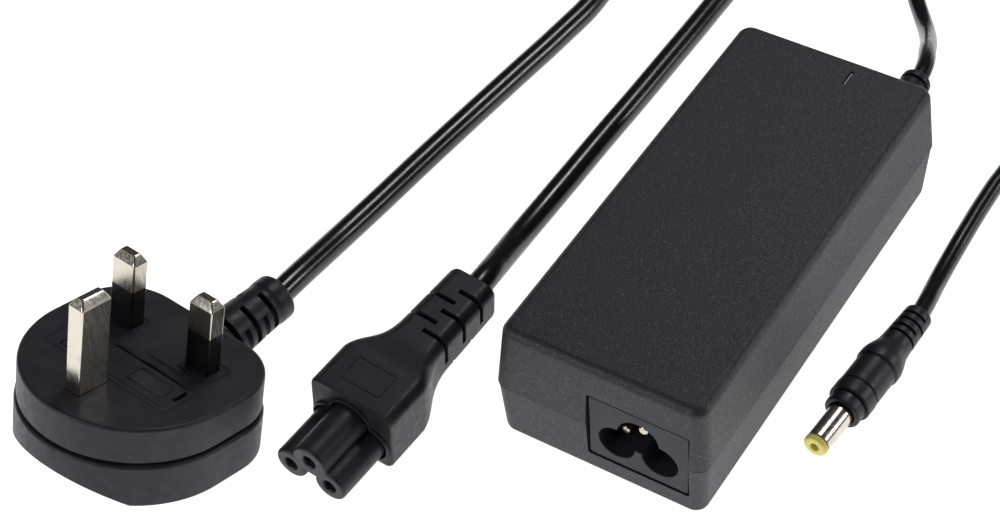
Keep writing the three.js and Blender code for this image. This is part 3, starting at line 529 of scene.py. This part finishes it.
MAINS_START = [
    (-0.08415, -0.0499, 0.0065), (-0.084, -0.0447, 0.0061), (-0.084, -0.0362, 0.0049),
    (-0.0839, -0.0264, 0.0036), (-0.0831, -0.0142, 0.00302), (-0.0815, 0.0038, 0.003),
    (-0.0797, 0.0218, 0.003), (-0.0778, 0.0398, 0.003), (-0.076, 0.0568, 0.003), (-0.0751, 0.0727, 0.003),
    (-0.0773, 0.0868, 0.003), (-0.0837, 0.0998, 0.003), (-0.0935, 0.1118, 0.003),
    (-0.1025, 0.1234, 0.003), (-0.1068, 0.1358, 0.003),
]
MAINS_END = [
    (-0.0268, 0.1424, 0.009), (-0.0289, 0.1352, 0.009), (-0.0324, 0.1286, 0.009),
    (-0.0366, 0.1232, 0.0089), (-0.0408, 0.1177, 0.0086), (-0.0444, 0.1109, 0.0068),
    (-0.0466, 0.1035, 0.0046), (-0.0475, 0.0959, 0.0033), (-0.0478, 0.0872, 0.003),
    (-0.0478, 0.0738, 0.003), (-0.0479, 0.0598, 0.003), (-0.048, 0.0458, 0.003),
    (-0.0483, 0.0298, 0.003), (-0.0484, 0.0138, 0.003), (-0.0485, -0.0002, 0.0031),
    (-0.048, -0.0092, 0.0042), (-0.0466, -0.0188, 0.0068), (-0.0456, -0.0252, 0.0087),
    (-0.04538, -0.02975, 0.00915),
]
# A coil's centre, the angle it starts at, and each layer's turns, first radius and last radius.
DC_COIL = {
    "centre": (0.0509, 0.1298), "start": 90, "low": (3, 0.02985, 0.01725), "high": (3.25, 0.01725, 0.0309),
}
MAINS_COIL = {
    "centre": (-0.0651, 0.1498), "start": 180, "low": (2, 0.042, 0.030), "high": (1.5, 0.030, 0.039),
}
TURN_POINTS = 20               # points in each turn of a coil
RISE_TURN = 0.22               # part of a turn in which the cord climbs to the upper layer


def coil_turns(coil, diameter):
    """Two layers, clockwise from above: the lower winds inward, the upper outward on top of it."""
    points = []
    angle = math.radians(coil["start"])
    for layer, height in (("low", diameter / 2), ("high", diameter * 1.5)):
        turns, first, last = coil[layer]
        steps = round(turns * TURN_POINTS)
        for i in range(steps + (layer == "high")):
            share = i / steps
            radius = first + (last - first) * share
            climb = min(1, share * turns / RISE_TURN) if layer == "high" else 1
            z = height - diameter * (1 - climb)
            turn = angle - 2 * math.pi * turns * share
            points.append((
                coil["centre"][0] + radius * math.cos(turn), coil["centre"][1] + radius * math.sin(turn), z,
            ))
        angle -= 2 * math.pi * turns
    return points


def cable(name, start, coil, end, diameter):
    """A cable along one smooth curve: a route, a coil and a route."""
    points = start + coil_turns(coil, diameter) + end
    curve = bpy.data.curves.new(name, "CURVE")
    curve.dimensions = "3D"
    curve.bevel_depth = diameter / 2
    curve.bevel_resolution = 7
    curve.resolution_u = 6
    curve.use_fill_caps = True
    spline = curve.splines.new("BEZIER")
    spline.bezier_points.add(len(points) - 1)
    for knot, point in zip(spline.bezier_points, points):
        knot.co = point
        knot.handle_left_type = knot.handle_right_type = "AUTO"
    curve.materials.append(MATERIALS["cable_jacket"])
    shape = bpy.data.objects.new(name, curve)
    bpy.context.scene.collection.objects.link(shape)
    return shape


dc_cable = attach(cable("dc_cable", DC_START, DC_COIL, DC_END, CABLE["dc"]), "adapter")
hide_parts("dc_cable_start", "dc_cable_coil", "dc_cable_end")
mains_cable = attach(cable("mains_cable", MAINS_START, MAINS_COIL, MAINS_END, CABLE["mains"]), "mains_lead")
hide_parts("mains_cable_plug_side", "mains_cable_coil", "mains_cable_connector_side")


# ------------------------------------------------------------------ brick
def leaning_ring(inset, z, far, draft):
    """The brick's outline at a height, leaning inward away from the parting line."""
    lean = draft * (z - BRICK["parting"]) / (far - BRICK["parting"])
    half_x = BRICK["width"] / 2 - inset - lean
    half_y = BRICK["length"] / 2 - inset - lean
    radius = max(BRICK["corner"] - inset, 0.8)
    return [(p.x, p.y, z) for p in rounded_rectangle(half_x, half_y, radius, 10)]


def edge_rings(inset, radius, end, sign, far, draft, steps=6):
    """Rings over a rounded edge, from the side wall to the face at height end."""
    angles = [math.pi / 2 * i / steps for i in range(steps + 1)]
    return [
        leaning_ring(
            inset + radius * (1 - math.cos(a)), end - sign * radius * (1 - math.sin(a)), far, draft,
        ) for a in angles
    ]


def case_top():
    parting, height, wall, draft = (BRICK[k] for k in ("parting", "height", "wall", "top_draft"))
    room = BRICK["lip"] + 0.25                 # how far in the lower shell's lip reaches
    inside = edge_rings(wall, 1, height - wall, 1, height, draft)
    rim = [
        leaning_ring(wall, parting + BRICK["lip_rise"] + 0.4, height, draft),
        leaning_ring(room, parting + BRICK["lip_rise"] + 0.4, height, draft),
        leaning_ring(room, parting, height, draft),
        leaning_ring(0.12, parting, height, draft),
        leaning_ring(0, parting + 0.12, height, draft),
    ]
    outside = edge_rings(0, BRICK["edge"], height, 1, height, draft)
    shell = solid("case_top", inside[::-1] + rim + outside)
    slit = slab(
        "slit", SLIT["width"] / 2, SLIT["length"] / 2, height - 4, height + 1,
        (SLIT["x"], SLIT["y"]), SLIT["width"] / 2 - 0.05, 0,
    )
    return changed(shell, inlet_hole(), gland_hole(), slit)


def case_base():
    parting = lower_high.z - BRICK["lip_rise"]
    inset, wall, draft = (BRICK[k] for k in ("lower_inset", "wall", "bottom_draft"))
    outside = edge_rings(inset, BRICK["edge"], 0, -1, 0, draft)
    rim = [
        leaning_ring(inset, parting - 0.15, 0, draft),
        leaning_ring(inset + 0.15, parting, 0, draft),
        leaning_ring(BRICK["lip"], parting, 0, draft),
        leaning_ring(BRICK["lip"], parting + BRICK["lip_rise"], 0, draft),
        leaning_ring(wall + inset, parting + BRICK["lip_rise"], 0, draft),
    ]
    inside = edge_rings(inset + wall, 1, wall, -1, 0, draft)
    shell = solid("case_base", outside[::-1] + rim + inside)
    return changed(shell, inlet_hole(), gland_hole())


inlet_low, inlet_high = (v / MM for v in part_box("inlet_housing"))
gland_low, gland_high = (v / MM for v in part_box("dc_gland"))
INLET = {
    "x": (inlet_low.x + inlet_high.x) / 2, "z": (inlet_low.z + inlet_high.z) / 2,
    "half_width": (inlet_high.x - inlet_low.x) / 2, "half_height": (inlet_high.z - inlet_low.z) / 2,
    "face": inlet_low.y, "back": inlet_high.y, "flange": 2.8, "body_inset": 1,
}
GLAND = {
    "x": (gland_low.x + gland_high.x) / 2, "z": (gland_low.z + gland_high.z) / 2,
    "wall": BRICK["length"] / 2, "end": gland_high.y, "neck": 3.4,
}


def inlet_hole():
    """A rounded window in the front wall, a hairline wider than the inlet's flange."""
    half_x, half_z = INLET["half_width"] + 0.38, INLET["half_height"] + 0.45
    outline = rounded_rectangle(half_x, half_z, 0.7, 4)
    return solid("inlet_hole", [
        [(INLET["x"] + p.x, y, INLET["z"] + p.y) for p in outline] for y in (-60, -46)
    ])


def gland_hole():
    outline = arc(GLAND["x"], GLAND["z"], GLAND["neck"] + 0.15, 0, 354, 59)
    return solid("gland_hole", [[(p.x, y, p.y) for p in outline] for y in (46, 60)])


def lobed_rings(levels, x, z):
    """Rings of the coupler's outline at (y, shrink) levels."""
    return [[(x + p.x, y, z + p.y) for p in lobed_outline(shrink)] for y, shrink in levels]


def block_across(name, half_x, half_z, y0, y1, x, z, radius, edge):
    """A rounded block along Y with a softened front edge."""
    levels = [(y0, edge), (y0 + edge * 0.3, edge * 0.3), (y0 + edge, 0), (y1, 0)]
    return solid(name, [
        [(x + p.x, y, z + p.y) for p in rounded_rectangle(half_x - inset, half_z - inset, radius, 4)]
        for y, inset in levels
    ])


def inlet_socket():
    face, x, z = INLET["face"], INLET["x"], INLET["z"]
    half_width, half_height = INLET["half_width"], INLET["half_height"]
    flange = block_across(
        "inlet_socket", half_width, half_height, face, face + INLET["flange"], x, z, 0.6, 0.25)
    inset = INLET["body_inset"]
    body = block_across(
        "body", half_width - inset, half_height - inset,
        face + INLET["flange"] - 0.5, INLET["back"], x, z, 0.6, 0.1)
    changed(flange, body, operation="UNION")
    pole_x, pole_z = inlet_poles()
    recess = solid("recess", lobed_rings(
        [(face - 1, -0.3), (face, -0.3), (face + 0.1, -0.09), (face + 0.3, 0), (face + INLET_RECESS, 0)],
        pole_x, pole_z))
    holes = [
        pole_cutter(PIN_RADIUS + 0.08, pole_x + dx, pole_z + dz, face + 5, INLET["back"] + 2)
        for dx, dz in POLES.values()
    ]
    return changed(flange, recess, *holes)


def inlet_poles():
    """The middle between the inlet's two line pins."""
    low, high = (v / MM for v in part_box("inlet_pin_live"))
    return (low.x + high.x) / 2 + COUPLER["side"], (low.z + high.z) / 2


def pole_cutter(radius, x, z, y0, y1):
    outline = arc(x, z, radius, 0, 352, 44)
    return solid("pole", [[(p.x, y, p.y) for p in outline] for y in (y0, y1)])


def inlet_pin(name):
    low, high = (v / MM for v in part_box(f"inlet_pin_{name}"))
    length = high.y - low.y
    profile = softened([
        (0, 0), (PIN_RADIUS, 0, 0.75), (PIN_RADIUS, length), (0, length),
    ], 8)
    pin = turned(f"inlet_contact_{name}", profile, 48)
    pin.data.transform(Matrix.Translation(((low.x + high.x) / 2, low.y, (low.z + high.z) / 2)))
    return pin


def light_slit_guide():
    """The clear blade that fills the indicator's slit."""
    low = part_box("light_guide")[0].z / MM
    return slab(
        "light_blade", SLIT["guide"] / 2, SLIT["length"] / 2 - 0.3, low, BRICK["height"] - 0.25,
        (SLIT["x"], SLIT["y"]), 0.2, 0.08)


piece(case_top(), AT_BRICK, "adapter", "case_plastic", "upper_case")
piece(case_base(), AT_BRICK, "adapter", "case_plastic", "lower_case")
piece(inlet_socket(), AT_BRICK, "adapter", "inlet_plastic", "inlet_housing")
for pole_name in POLES:
    piece(inlet_pin(pole_name), AT_BRICK, "adapter", "nickel_plate", f"inlet_pin_{pole_name}")
piece(light_slit_guide(), AT_BRICK, "adapter", "clear_plastic", "light_guide")


# ------------------------------------------------------------------ gland and barrel plug
def gland_piece():
    length = GLAND["end"] - GLAND["wall"]
    profile = softened([
        (0, -4.6), (5.4, -4.6, 0.3), (5.4, -3, 0.3), (3.4, -3), (3.4, GAP), (4.2, GAP, 0.2), (4.15, 3, 0.8),
        (3.55, length - 3.4, 0.3), (3.5, length - 2.6, 0.12), (2.95, length - 2.55), (2.95, length - 1.95),
        (3.6, length - 1.9, 0.15), (3.6, length, 0.7), (0, length),
    ])
    shape = turned("dc_cable_gland", profile)
    shape.data.transform(Matrix.Translation((GLAND["x"], GLAND["wall"], GLAND["z"])))
    return shape


# The metal parts stand "ahead" further out than they are drawn.
BARREL = {"ahead": 0.8, "shoulder": 10.1, "collar_end": 12.9, "length": 42.8}
DC_SLOTS = [(34.0, 50), (36.0, 115), (38.2, 50), (40.3, 115)]     # place and middle angle
DC_SLOT = {"half": 0.4, "core": 2.7, "span": 165, "under_span": 105}


def barrel_grip():
    """Overmould: a plain grip, a ridge, a taper and a slotted strain relief."""
    end = BARREL["length"]
    profile = softened([
        (0, 13.2), (4.8, 13.2, 0.25), (4.8, 16.45, 0.12), (4.35, 16.6), (4.35, 16.95), (4.65, 17.1, 0.15),
        (4.65, 24.3, 0.15), (4.45, 24.45), (5.0, 24.7, 0.25), (5.02, 26.6, 0.4), (4.7, 28, 0.6),
        (3.8, 30.7, 0.7), (3.6, 32.4, 0.3), (3.15, end, 0.5), (2.15, end), (2.15, end - 1), (0, end - 1),
    ])
    slots = []
    core, half = DC_SLOT["core"], DC_SLOT["half"]
    for y, middle in DC_SLOTS:
        for turn, span in ((middle, DC_SLOT["span"]), (middle + 180, DC_SLOT["under_span"])):
            slots.append(ring_sector("slot", core, 5, y - half, y + half, turn, span))
    return changed(turned("dc_plug_grip", profile), *slots)


def barrel_pieces():
    """The metal barrel, its insulating tip, the inner contact and the collar."""
    shoulder = BARREL["shoulder"]
    barrel = turned("dc_plug_outer_barrel", softened([
        (2.25, 1.4, 0.1), (2.75, 1.4, 0.15), (2.75, 12.4), (2.25, 12.4),
    ]))
    tip = turned("dc_plug_tip", softened([
        (1, 0, 0.25), (2.5, 0, 0.5), (2.74, 0.5, 0.2), (2.74, 1.1, 0.1), (1.95, 1.1), (1.95, 11.5),
        (1.45, 11.5), (1.45, 1.3), (1, 1.3),
    ]))
    sleeve = turned("dc_plug_contact", softened([
        (0.85, 1.5, 0.08), (1.15, 1.5, 0.08), (1.15, 11.5), (0.85, 11.5),
    ]), 40)
    collar_end = BARREL["collar_end"]
    collar = turned("dc_plug_neck", softened([
        (3.05, shoulder, 0.1), (4.1, shoulder, 0.4), (4.1, collar_end, 0.2), (3.05, collar_end),
    ]))
    for shape in (barrel, tip, sleeve):
        shape.data.transform(Matrix.Translation((0, -BARREL["ahead"], 0)))
    return [
        piece(barrel, AT_BARREL, "adapter", "nickel_plate", "dc_plug_barrel"),
        piece(tip, AT_BARREL, "adapter", "tip_plastic", "dc_plug_tip_insulator"),
        piece(sleeve, AT_BARREL, "adapter", "contact_brass", "dc_plug_inner_sleeve"),
        piece(collar, AT_BARREL, "adapter", "moulding", "dc_plug_collar"),
        piece(barrel_grip(), AT_BARREL, "adapter", "moulding", "dc_plug_overmould"),
    ]


gland = piece(gland_piece(), AT_BRICK, "adapter", "moulding", "dc_gland")
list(barrel_pieces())


# ------------------------------------------------------------------ appliance connector
def bezier(points, t):
    """A point on the cubic curve with these four control values."""
    a, b, c, d = points
    return a * (1 - t) ** 3 + 3 * b * t * (1 - t) ** 2 + 3 * c * t ** 2 * (1 - t) + d * t ** 3


def connector_sections():
    """(y, half width, half height, corner radius) along the connector."""
    c = CONNECTOR
    half_w, half_h = c["half_width"], c["half_height"]
    length, neck = c["length"], c["neck_start"]
    sections = [
        (0, half_w - 0.5, half_h - 0.5, 2), (0.12, half_w - 0.2, half_h - 0.2, 2.2),
        (0.5, half_w, half_h, 2.4),
    ]
    for i in range(15):
        t = i / 14
        sections.append((
            bezier((length, length + 5, neck - 8, neck), t),
            bezier((half_w, half_w - 0.6, c["neck_width"] + 0.3, c["neck_width"]), t),
            bezier((half_h, half_h - 0.6, c["neck_height"] + 0.3, c["neck_height"]), t),
            2.4 + 0.4 * t,
        ))
    end_w, end_h, total = c["end_width"], c["end_height"], c["total"]
    sections += [
        (total - 0.9, end_w, end_h, 2.8), (total - 0.25, end_w - 0.2, end_h - 0.2, 2.7),
        (total, end_w - 0.8, end_h - 0.8, 2.4),
    ]
    return sections


# Slots of the strain relief: where they are along it, and the blocks (x0, z0, x1, z1) that cut
# each one down to the core. A slot goes over a top edge and its side, and round the opposite
# lower edge.
SLOT_ROWS = {"right": (25.2, 31.9, 38.5), "left": (28.4, 35.1)}
SLOT_BLOCKS = {
    "right": ((0.1, 4.1, 9, 9), (4.3, -1.2, 9, 8.9), (-9, -9, 0, -4.1), (-9, -8.9, -4.3, 1.2)),
    "left": ((-9, 4.1, 1.5, 9), (-9, 1, -4.3, 8.9), (0, -9, 9, -4.1), (4.3, -8.9, 9, -3.2)),
}
SLOT_HALF = 0.62


def corner_slots():
    """Blocks that cut the strain relief's staggered slots."""
    return [
        crate("slot", (x0, y - SLOT_HALF, z0), (x1, y + SLOT_HALF, z1))
        for side, rows in SLOT_ROWS.items() for y in rows for x0, z0, x1, z1 in SLOT_BLOCKS[side]
    ]


def frame_outline(name, x0, x1, y0, y1, z0, z1, width=0.35):
    """A thin raised rectangle, as four bars joined at the corners."""
    outer = rounded_rectangle((x1 - x0) / 2, (y1 - y0) / 2, 0.4, 4)
    inner = rounded_rectangle((x1 - x0) / 2 - width, (y1 - y0) / 2 - width, 0.2, 4)
    centre = Vector(((x0 + x1) / 2, (y0 + y1) / 2))
    rings = [[(*(p + centre), z) for p in ring] for ring, z in (
        (inner, z0), (inner, z1 - 0.03), (inner, z1), (outer, z1), (outer, z1 - 0.05), (outer, z0),
    )]
    frame_shape = solid(name, rings)
    return closed_ring(frame_shape, len(outer), len(rings))


def closed_ring(shape, count, levels):
    """Replaces a solid's two end caps by a band between its first and last rings."""
    work = bmesh.new()
    work.from_mesh(shape.data)
    work.verts.ensure_lookup_table()
    bmesh.ops.delete(work, geom=[f for f in work.faces if len(f.verts) > 4], context="FACES_ONLY")
    last = (levels - 1) * count
    for i in range(count):
        j = (i + 1) % count
        work.faces.new([work.verts[k] for k in (i, last + i, last + j, j)])
    bmesh.ops.recalc_face_normals(work, faces=work.faces)
    work.to_mesh(shape.data)
    work.free()
    return shape


def connector_body():
    rings = [
        [(p.x, y, p.y) for p in rounded_rectangle(half_w, half_h, radius, 6)]
        for y, half_w, half_h, radius in connector_sections()
    ]
    body = solid("connector_body", rings)
    top = CONNECTOR["half_height"]
    plate = frame_outline("plate", -5.4, 4.6, 3.6, 10.4, top - 0.6, top + 0.16)
    rim = solid("rim", lobed_rings([(-0.7, -0.5), (-0.55, -0.75), (0.6, -0.8)], 0, -CONNECTOR["pole_drop"]))
    changed(body, plate, rim, operation="UNION")
    socket = solid("socket", lobed_rings([(-2, -0.3), (3, -0.3)], 0, -CONNECTOR["pole_drop"]))
    mouth = pole_cutter(CABLE["mains"] / MM / 2 + 0.1, 0, 0, CONNECTOR["total"] - 0.6, CONNECTOR["total"] + 2)
    return changed(body, socket, mouth, *corner_slots())


def connector_nose():
    front = -CONNECTOR["nose"]
    drop = CONNECTOR["pole_drop"]
    levels = [(front, 0.9), (front + 0.1, 0.62), (front + 0.35, 0.42), (front + 0.7, 0.35), (2.6, 0.35)]
    nose = solid("connector_snout", lobed_rings(levels, 0, -drop))
    holes = []
    for dx, dz in POLES.values():
        holes.append(pole_cutter(PIN_RADIUS + 0.4, dx, dz - drop, front - 1, 4))
        holes.append(flared_hole(dx, dz - drop, front))
    return changed(nose, *holes)


def flared_hole(x, z, front):
    """A short chamfer at the mouth of a contact hole."""
    outlines = [(front - 0.2, PIN_RADIUS + 0.85), (front + 0.5, PIN_RADIUS + 0.2)]
    return solid("flare", [[(p.x, y, p.y) for p in arc(x, z, r, 0, 352, 44)] for y, r in outlines])


def connector_contact(name):
    dx, dz = POLES[name]
    profile = softened([(0.85, 0, 0.08), (1.3, 0, 0.1), (1.3, 14), (0.85, 14)])
    shape = turned(f"connector_socket_{name}", profile, 36)
    shape.data.transform(Matrix.Translation((dx, 2 - CONNECTOR["nose"], dz - CONNECTOR["pole_drop"])))
    return shape


connector_pieces = [
    piece(connector_body(), AT_CONNECTOR, "mains_lead", "moulding", "connector_overmould"),
    piece(connector_nose(), AT_CONNECTOR, "mains_lead", "moulding", "connector_nose"),
]
for pole_name in POLES:
    connector_pieces.append(piece(
        connector_contact(pole_name), AT_CONNECTOR, "mains_lead", "contact_brass",
        f"connector_contact_{pole_name}"))


# ------------------------------------------------------------------ three-pin plug
LINE_PINS = {"live": BLADE["spacing"] / 2, "neutral": -BLADE["spacing"] / 2}


def carrier_well(low):
    """A block that cuts the fuse carrier's well down to a height."""
    half_x = CARRIER["length"] / 2 + CARRIER["play"]
    half_y = CARRIER["width"] / 2 + CARRIER["play"]
    return slab("well", half_x, half_y, low, 3, (CARRIER["x"], CARRIER["y"]), 0.5, 0)


def pin_opening(width, thickness, centre):
    """A hole in the pin-side shell, a hairline wider than its pin."""
    hairline = 0.12
    return slab(
        "socket", width / 2 + hairline, thickness / 2 + hairline, -BLADE["root"] - GAP, 2, centre, 0.3, 0)


def plug_face():
    """The pin-side shell, with its pin and fuse openings and faint raised outlines."""
    shell = prism(
        "plug_front", lambda inset: plug_outline(-inset), -PLUG["face_depth"] + 0.25, 0, PLUG["edge"])
    raised = [
        frame_outline("mark", side * 11.65 - 4.65, side * 11.65 + 4.65, -3.5, 3.5, -0.5, 0.14, 0.3)
        for side in (-1, 1)
    ]
    raised.append(frame_outline("mark", -18, 17, -17.4, -7.2, -0.5, 0.1, 0.25))
    raised.append(slab("mark", 5.3, 0.5, -0.5, 0.16, (5.1, -4.8), 0.3, 0.08))
    changed(shell, *raised, operation="UNION")
    openings = [carrier_well(-PLUG["face_depth"] - 1)]
    openings.append(slab("notch", 0.75, 2, -2.4, 2, (15.2, -10.9), 0.2, 0))
    openings.append(slab("gap", 9.5, 0.3, -2.4, 2, (3.5, -7.95), 0.25, 0))
    for x in LINE_PINS.values():
        openings.append(pin_opening(BLADE["width"], BLADE["thickness"], (x, 0)))
    openings.append(pin_opening(BLADE["earth_width"], BLADE["earth_thickness"], (0, BLADE["earth_y"])))
    return changed(shell, *openings)


def plug_back():
    """The hand-side shell, slightly proud, with a bevel, a grip and a resting facet."""
    step, depth = PLUG["step"], PLUG["depth"]
    shell = prism(
        "plug_rear", lambda inset: plug_outline(step - inset), -depth, -PLUG["face_depth"] - 0.2, 0.8, 6)
    levels = ((-depth - 6.6, 11.6, 9.8), (-depth - 6, 12.2, 10.4), (-depth + 1, 14.4, 12.2))
    grip = solid("grip", [
        [(p.x, p.y - 1.5, z) for p in rounded_rectangle(half_x, half_y, 3, 6)]
        for z, half_x, half_y in levels
    ])
    changed(shell, grip, operation="UNION")
    bevel = crate("bevel", (-40, -60, -40), (40, 60, 0))      # everything below the slanting cut
    slope = Matrix.Rotation(-math.radians(PLUG["bevel_angle"]), 4, "X")
    bevel.data.transform(Matrix.Translation((0, *PLUG["bevel"])) @ slope)
    floor = crate("floor", (-150, -150, -90), (150, 150, 0.06))
    level = Matrix.Translation(Vector((AT_PLUG.translation.x, AT_PLUG.translation.y, 0)))
    floor.data.transform(SCALE.inverted() @ AT_PLUG.inverted() @ level @ SCALE)
    well = carrier_well(-CARRIER["depth"] - GAP)
    return changed(shell, bevel, floor, well)


def blade(name, half_x, half_y, length, top=0.0):
    """A flat pin with a chamfered tip; top is where a sleeved pin's full section begins."""
    inset, tip, root = BLADE["inset"], BLADE["tip"], BLADE["root"]
    levels = [(-root, 0.15), (-root + 0.15, 0)]
    if top:
        levels += [(-1.9, 0), (-1.85, 0.95), (top - 0.05, 0.95), (top, 0)]
    levels += [
        (length - tip - 0.12, 0), (length - tip + 0.12, 0.09),
        (length - 0.3, inset - 0.12), (length, inset + 0.25),
    ]
    return solid(name, [
        [(p.x, p.y, z) for p in rounded_rectangle(half_x - cut, half_y - cut, 0.35, 5)] for z, cut in levels
    ])


def pin_sleeve(name):
    half_x, half_y, top = BLADE["width"] / 2, BLADE["thickness"] / 2, BLADE["sleeve"]
    shape = prism(
        name, lambda inset: rounded_rectangle(half_x + 0.02 - inset, half_y + 0.02 - inset, 0.4, 5),
        -1.7, top - 0.06, 0.06, 2)
    bore = slab("bore", half_x - 0.7, half_y - 0.65, -9, 30, (0, 0), 0.3, 0)
    return changed(shape, bore)


def fuse_drawer():
    """The carrier's lid and cradle, with a faint label panel and a room for the fuse and clips."""
    x, y = CARRIER["x"], CARRIER["y"]
    half_x, half_y = CARRIER["length"] / 2, CARRIER["width"] / 2
    body = slab("fuse_holder", half_x, half_y, -CARRIER["depth"], -0.05, (x, y), 0.5, 0.15)
    panel = frame_outline("mark", 3.1, 12.9, -14.2, -9.4, -0.5, 0.1, 0.25)
    changed(body, panel, operation="UNION")
    reach = FUSE["length"] / 2 + GAP
    hollow = FUSE["radius"] + 0.25
    bed = solid("bed", [
        [(side, y + p.x, p.y - FUSE["depth"]) for p in arc(0, 0, hollow, 0, 352, 44)]
        for side in (x - reach, x + reach)
    ])
    below = crate("below", (x - reach, y - hollow, -20), (x + reach, y + hollow, -FUSE["depth"]))
    rooms = []
    for side in (-1, 1):
        middle = x + side * (FUSE["length"] - FUSE["cap"]) / 2
        top = -CARRIER["lid"] - 0.5
        rooms.append(crate("room", (middle - 2.4, y - 8, -20), (middle + 2.4, y + 8, top)))
    return changed(body, bed, below, *rooms)


RELIEF_START = Vector((-0.088, -0.0762, 0.00775))
RELIEF_SLOTS = {"first": 6.2, "pitch": 2.75, "count": 6, "half": 0.72, "core": 4.1, "span": 120}


def plug_relief():
    """The tapered, slotted strain relief, cut where it meets the plug's end."""
    axis = Vector(MAINS_START[0]) - RELIEF_START
    length = axis.length / MM - 0.6
    profile = softened([
        (0, 0), (6.2, 0), (6.1, 8, 2), (5.3, length - 4.4, 0.5), (5.5, length - 3.6, 0.4), (5.4, length, 1.1),
        (3.1, length), (3.1, length - 1.2), (0, length - 1.2),
    ])
    shape = turned("plug_cable_relief", profile)
    slots = []
    core, half, span = (RELIEF_SLOTS[k] for k in ("core", "half", "span"))
    for i in range(RELIEF_SLOTS["count"]):
        y = RELIEF_SLOTS["first"] + i * RELIEF_SLOTS["pitch"]
        middle = 25 if i % 2 else 155
        for turn in (middle, middle + 180):
            slots.append(ring_sector("slot", core, 8, y - half, y + half, turn, span))
    changed(shape, *slots)
    turn = turned_frame((0, 0, 0), axis.cross(Vector((0, 0, 1))).normalized().cross(axis).normalized(),
                        axis.cross(Vector((0, 0, 1))))
    place = Matrix.Translation(RELIEF_START) @ turn
    wall = crate("wall", (-40, -60, -40), (40, PLUG["cable_end"] + PLUG["step"] + 0.15, 20))
    wall.data.transform(SCALE.inverted() @ place.inverted() @ AT_PLUG @ SCALE)
    return changed(shape, wall), place


plug_pieces = [
    piece(plug_face(), AT_PLUG, "mains_lead", "plug_plastic", "plug_face"),
    piece(plug_back(), AT_PLUG, "mains_lead", "plug_plastic", "plug_back"),
]
for line_name, line_x in LINE_PINS.items():
    at_pin = AT_PLUG @ Matrix.Translation((line_x * MM, 0, 0))
    line_pin = blade(
        f"blade_{line_name}", BLADE["width"] / 2, BLADE["thickness"] / 2, BLADE["length"], BLADE["sleeve"])
    plug_pieces.append(piece(line_pin, at_pin, "mains_lead", "nickel_plate", f"plug_pin_{line_name}"))
    sleeve_piece = pin_sleeve(f"blade_sleeve_{line_name}")
    plug_pieces.append(piece(sleeve_piece, at_pin, "mains_lead", "pin_sleeve", f"plug_sleeve_{line_name}"))
earth_pin = blade(
    "blade_earth", BLADE["earth_width"] / 2, BLADE["earth_thickness"] / 2, BLADE["earth_length"])
at_earth = AT_PLUG @ Matrix.Translation((0, BLADE["earth_y"] * MM, 0))
plug_pieces.append(piece(earth_pin, at_earth, "mains_lead", "nickel_plate", "plug_pin_earth"))
relief, relief_place = plug_relief()
plug_pieces.append(piece(relief, relief_place, "mains_lead", "moulding", "plug_strain_relief"))
drawer = piece(fuse_drawer(), AT_PLUG, "fuse_drawer", "plug_plastic", "fuse_carrier")

# ------------------------------------------------------------------ inner pieces kept from the frame
for row in frame["record"]["subparts"]:
    node = frame["nodes"][row["node"]]
    if not node.hide_render:
        node.data.materials.clear()
        node.data.materials.append(MATERIALS[row["material_slot"]])


# ------------------------------------------------------------------ floor and light
def stage_floor():
    mesh = bpy.data.meshes.new("floor")
    side = 6
    corners = [(-side, -side, 0), (side, -side, 0), (side, side, 0), (-side, side, 0)]
    mesh.from_pydata(corners, [], [(0, 1, 2, 3)])
    floor = bpy.data.objects.new("floor", mesh)
    floor.location.z = -0.0002
    bpy.context.scene.collection.objects.link(floor)
    paper = Finish("paper", (0.93, 0.93, 0.93), 0.9)
    paper.shader.inputs["Emission Color"].default_value = (1, 1, 1, 1)
    paper.shader.inputs["Emission Strength"].default_value = 0.97
    mesh.materials.append(paper.material)


def soft_light(name, place, power):
    """A round lamp that shines on the brick."""
    light = bpy.data.objects.new(name, bpy.data.lights.new(name, "AREA"))
    light.data.shape = "DISK"
    light.data.size = 0.3
    light.data.energy = power
    light.location = place
    light.rotation_mode = "QUATERNION"
    light.rotation_quaternion = (-Vector(place)).to_track_quat("-Z", "Y")
    bpy.context.scene.collection.objects.link(light)


stage_floor()
soft_light("back", (-0.08, 0.7, 1.02), 3.4)
soft_light("front_left", (-0.47, -0.88, 0.67), 4)
soft_light("right", (0.9, 0.68, 0.48), 3)
world = bpy.data.worlds.new("studio")
world.use_nodes = True
background = world.node_tree.nodes["Background"]
background.inputs["Color"].default_value = (0.92, 0.95, 1, 1)
background.inputs["Strength"].default_value = 0.05
bpy.context.scene.world = world
bpy.context.scene.view_settings.view_transform = "Standard"
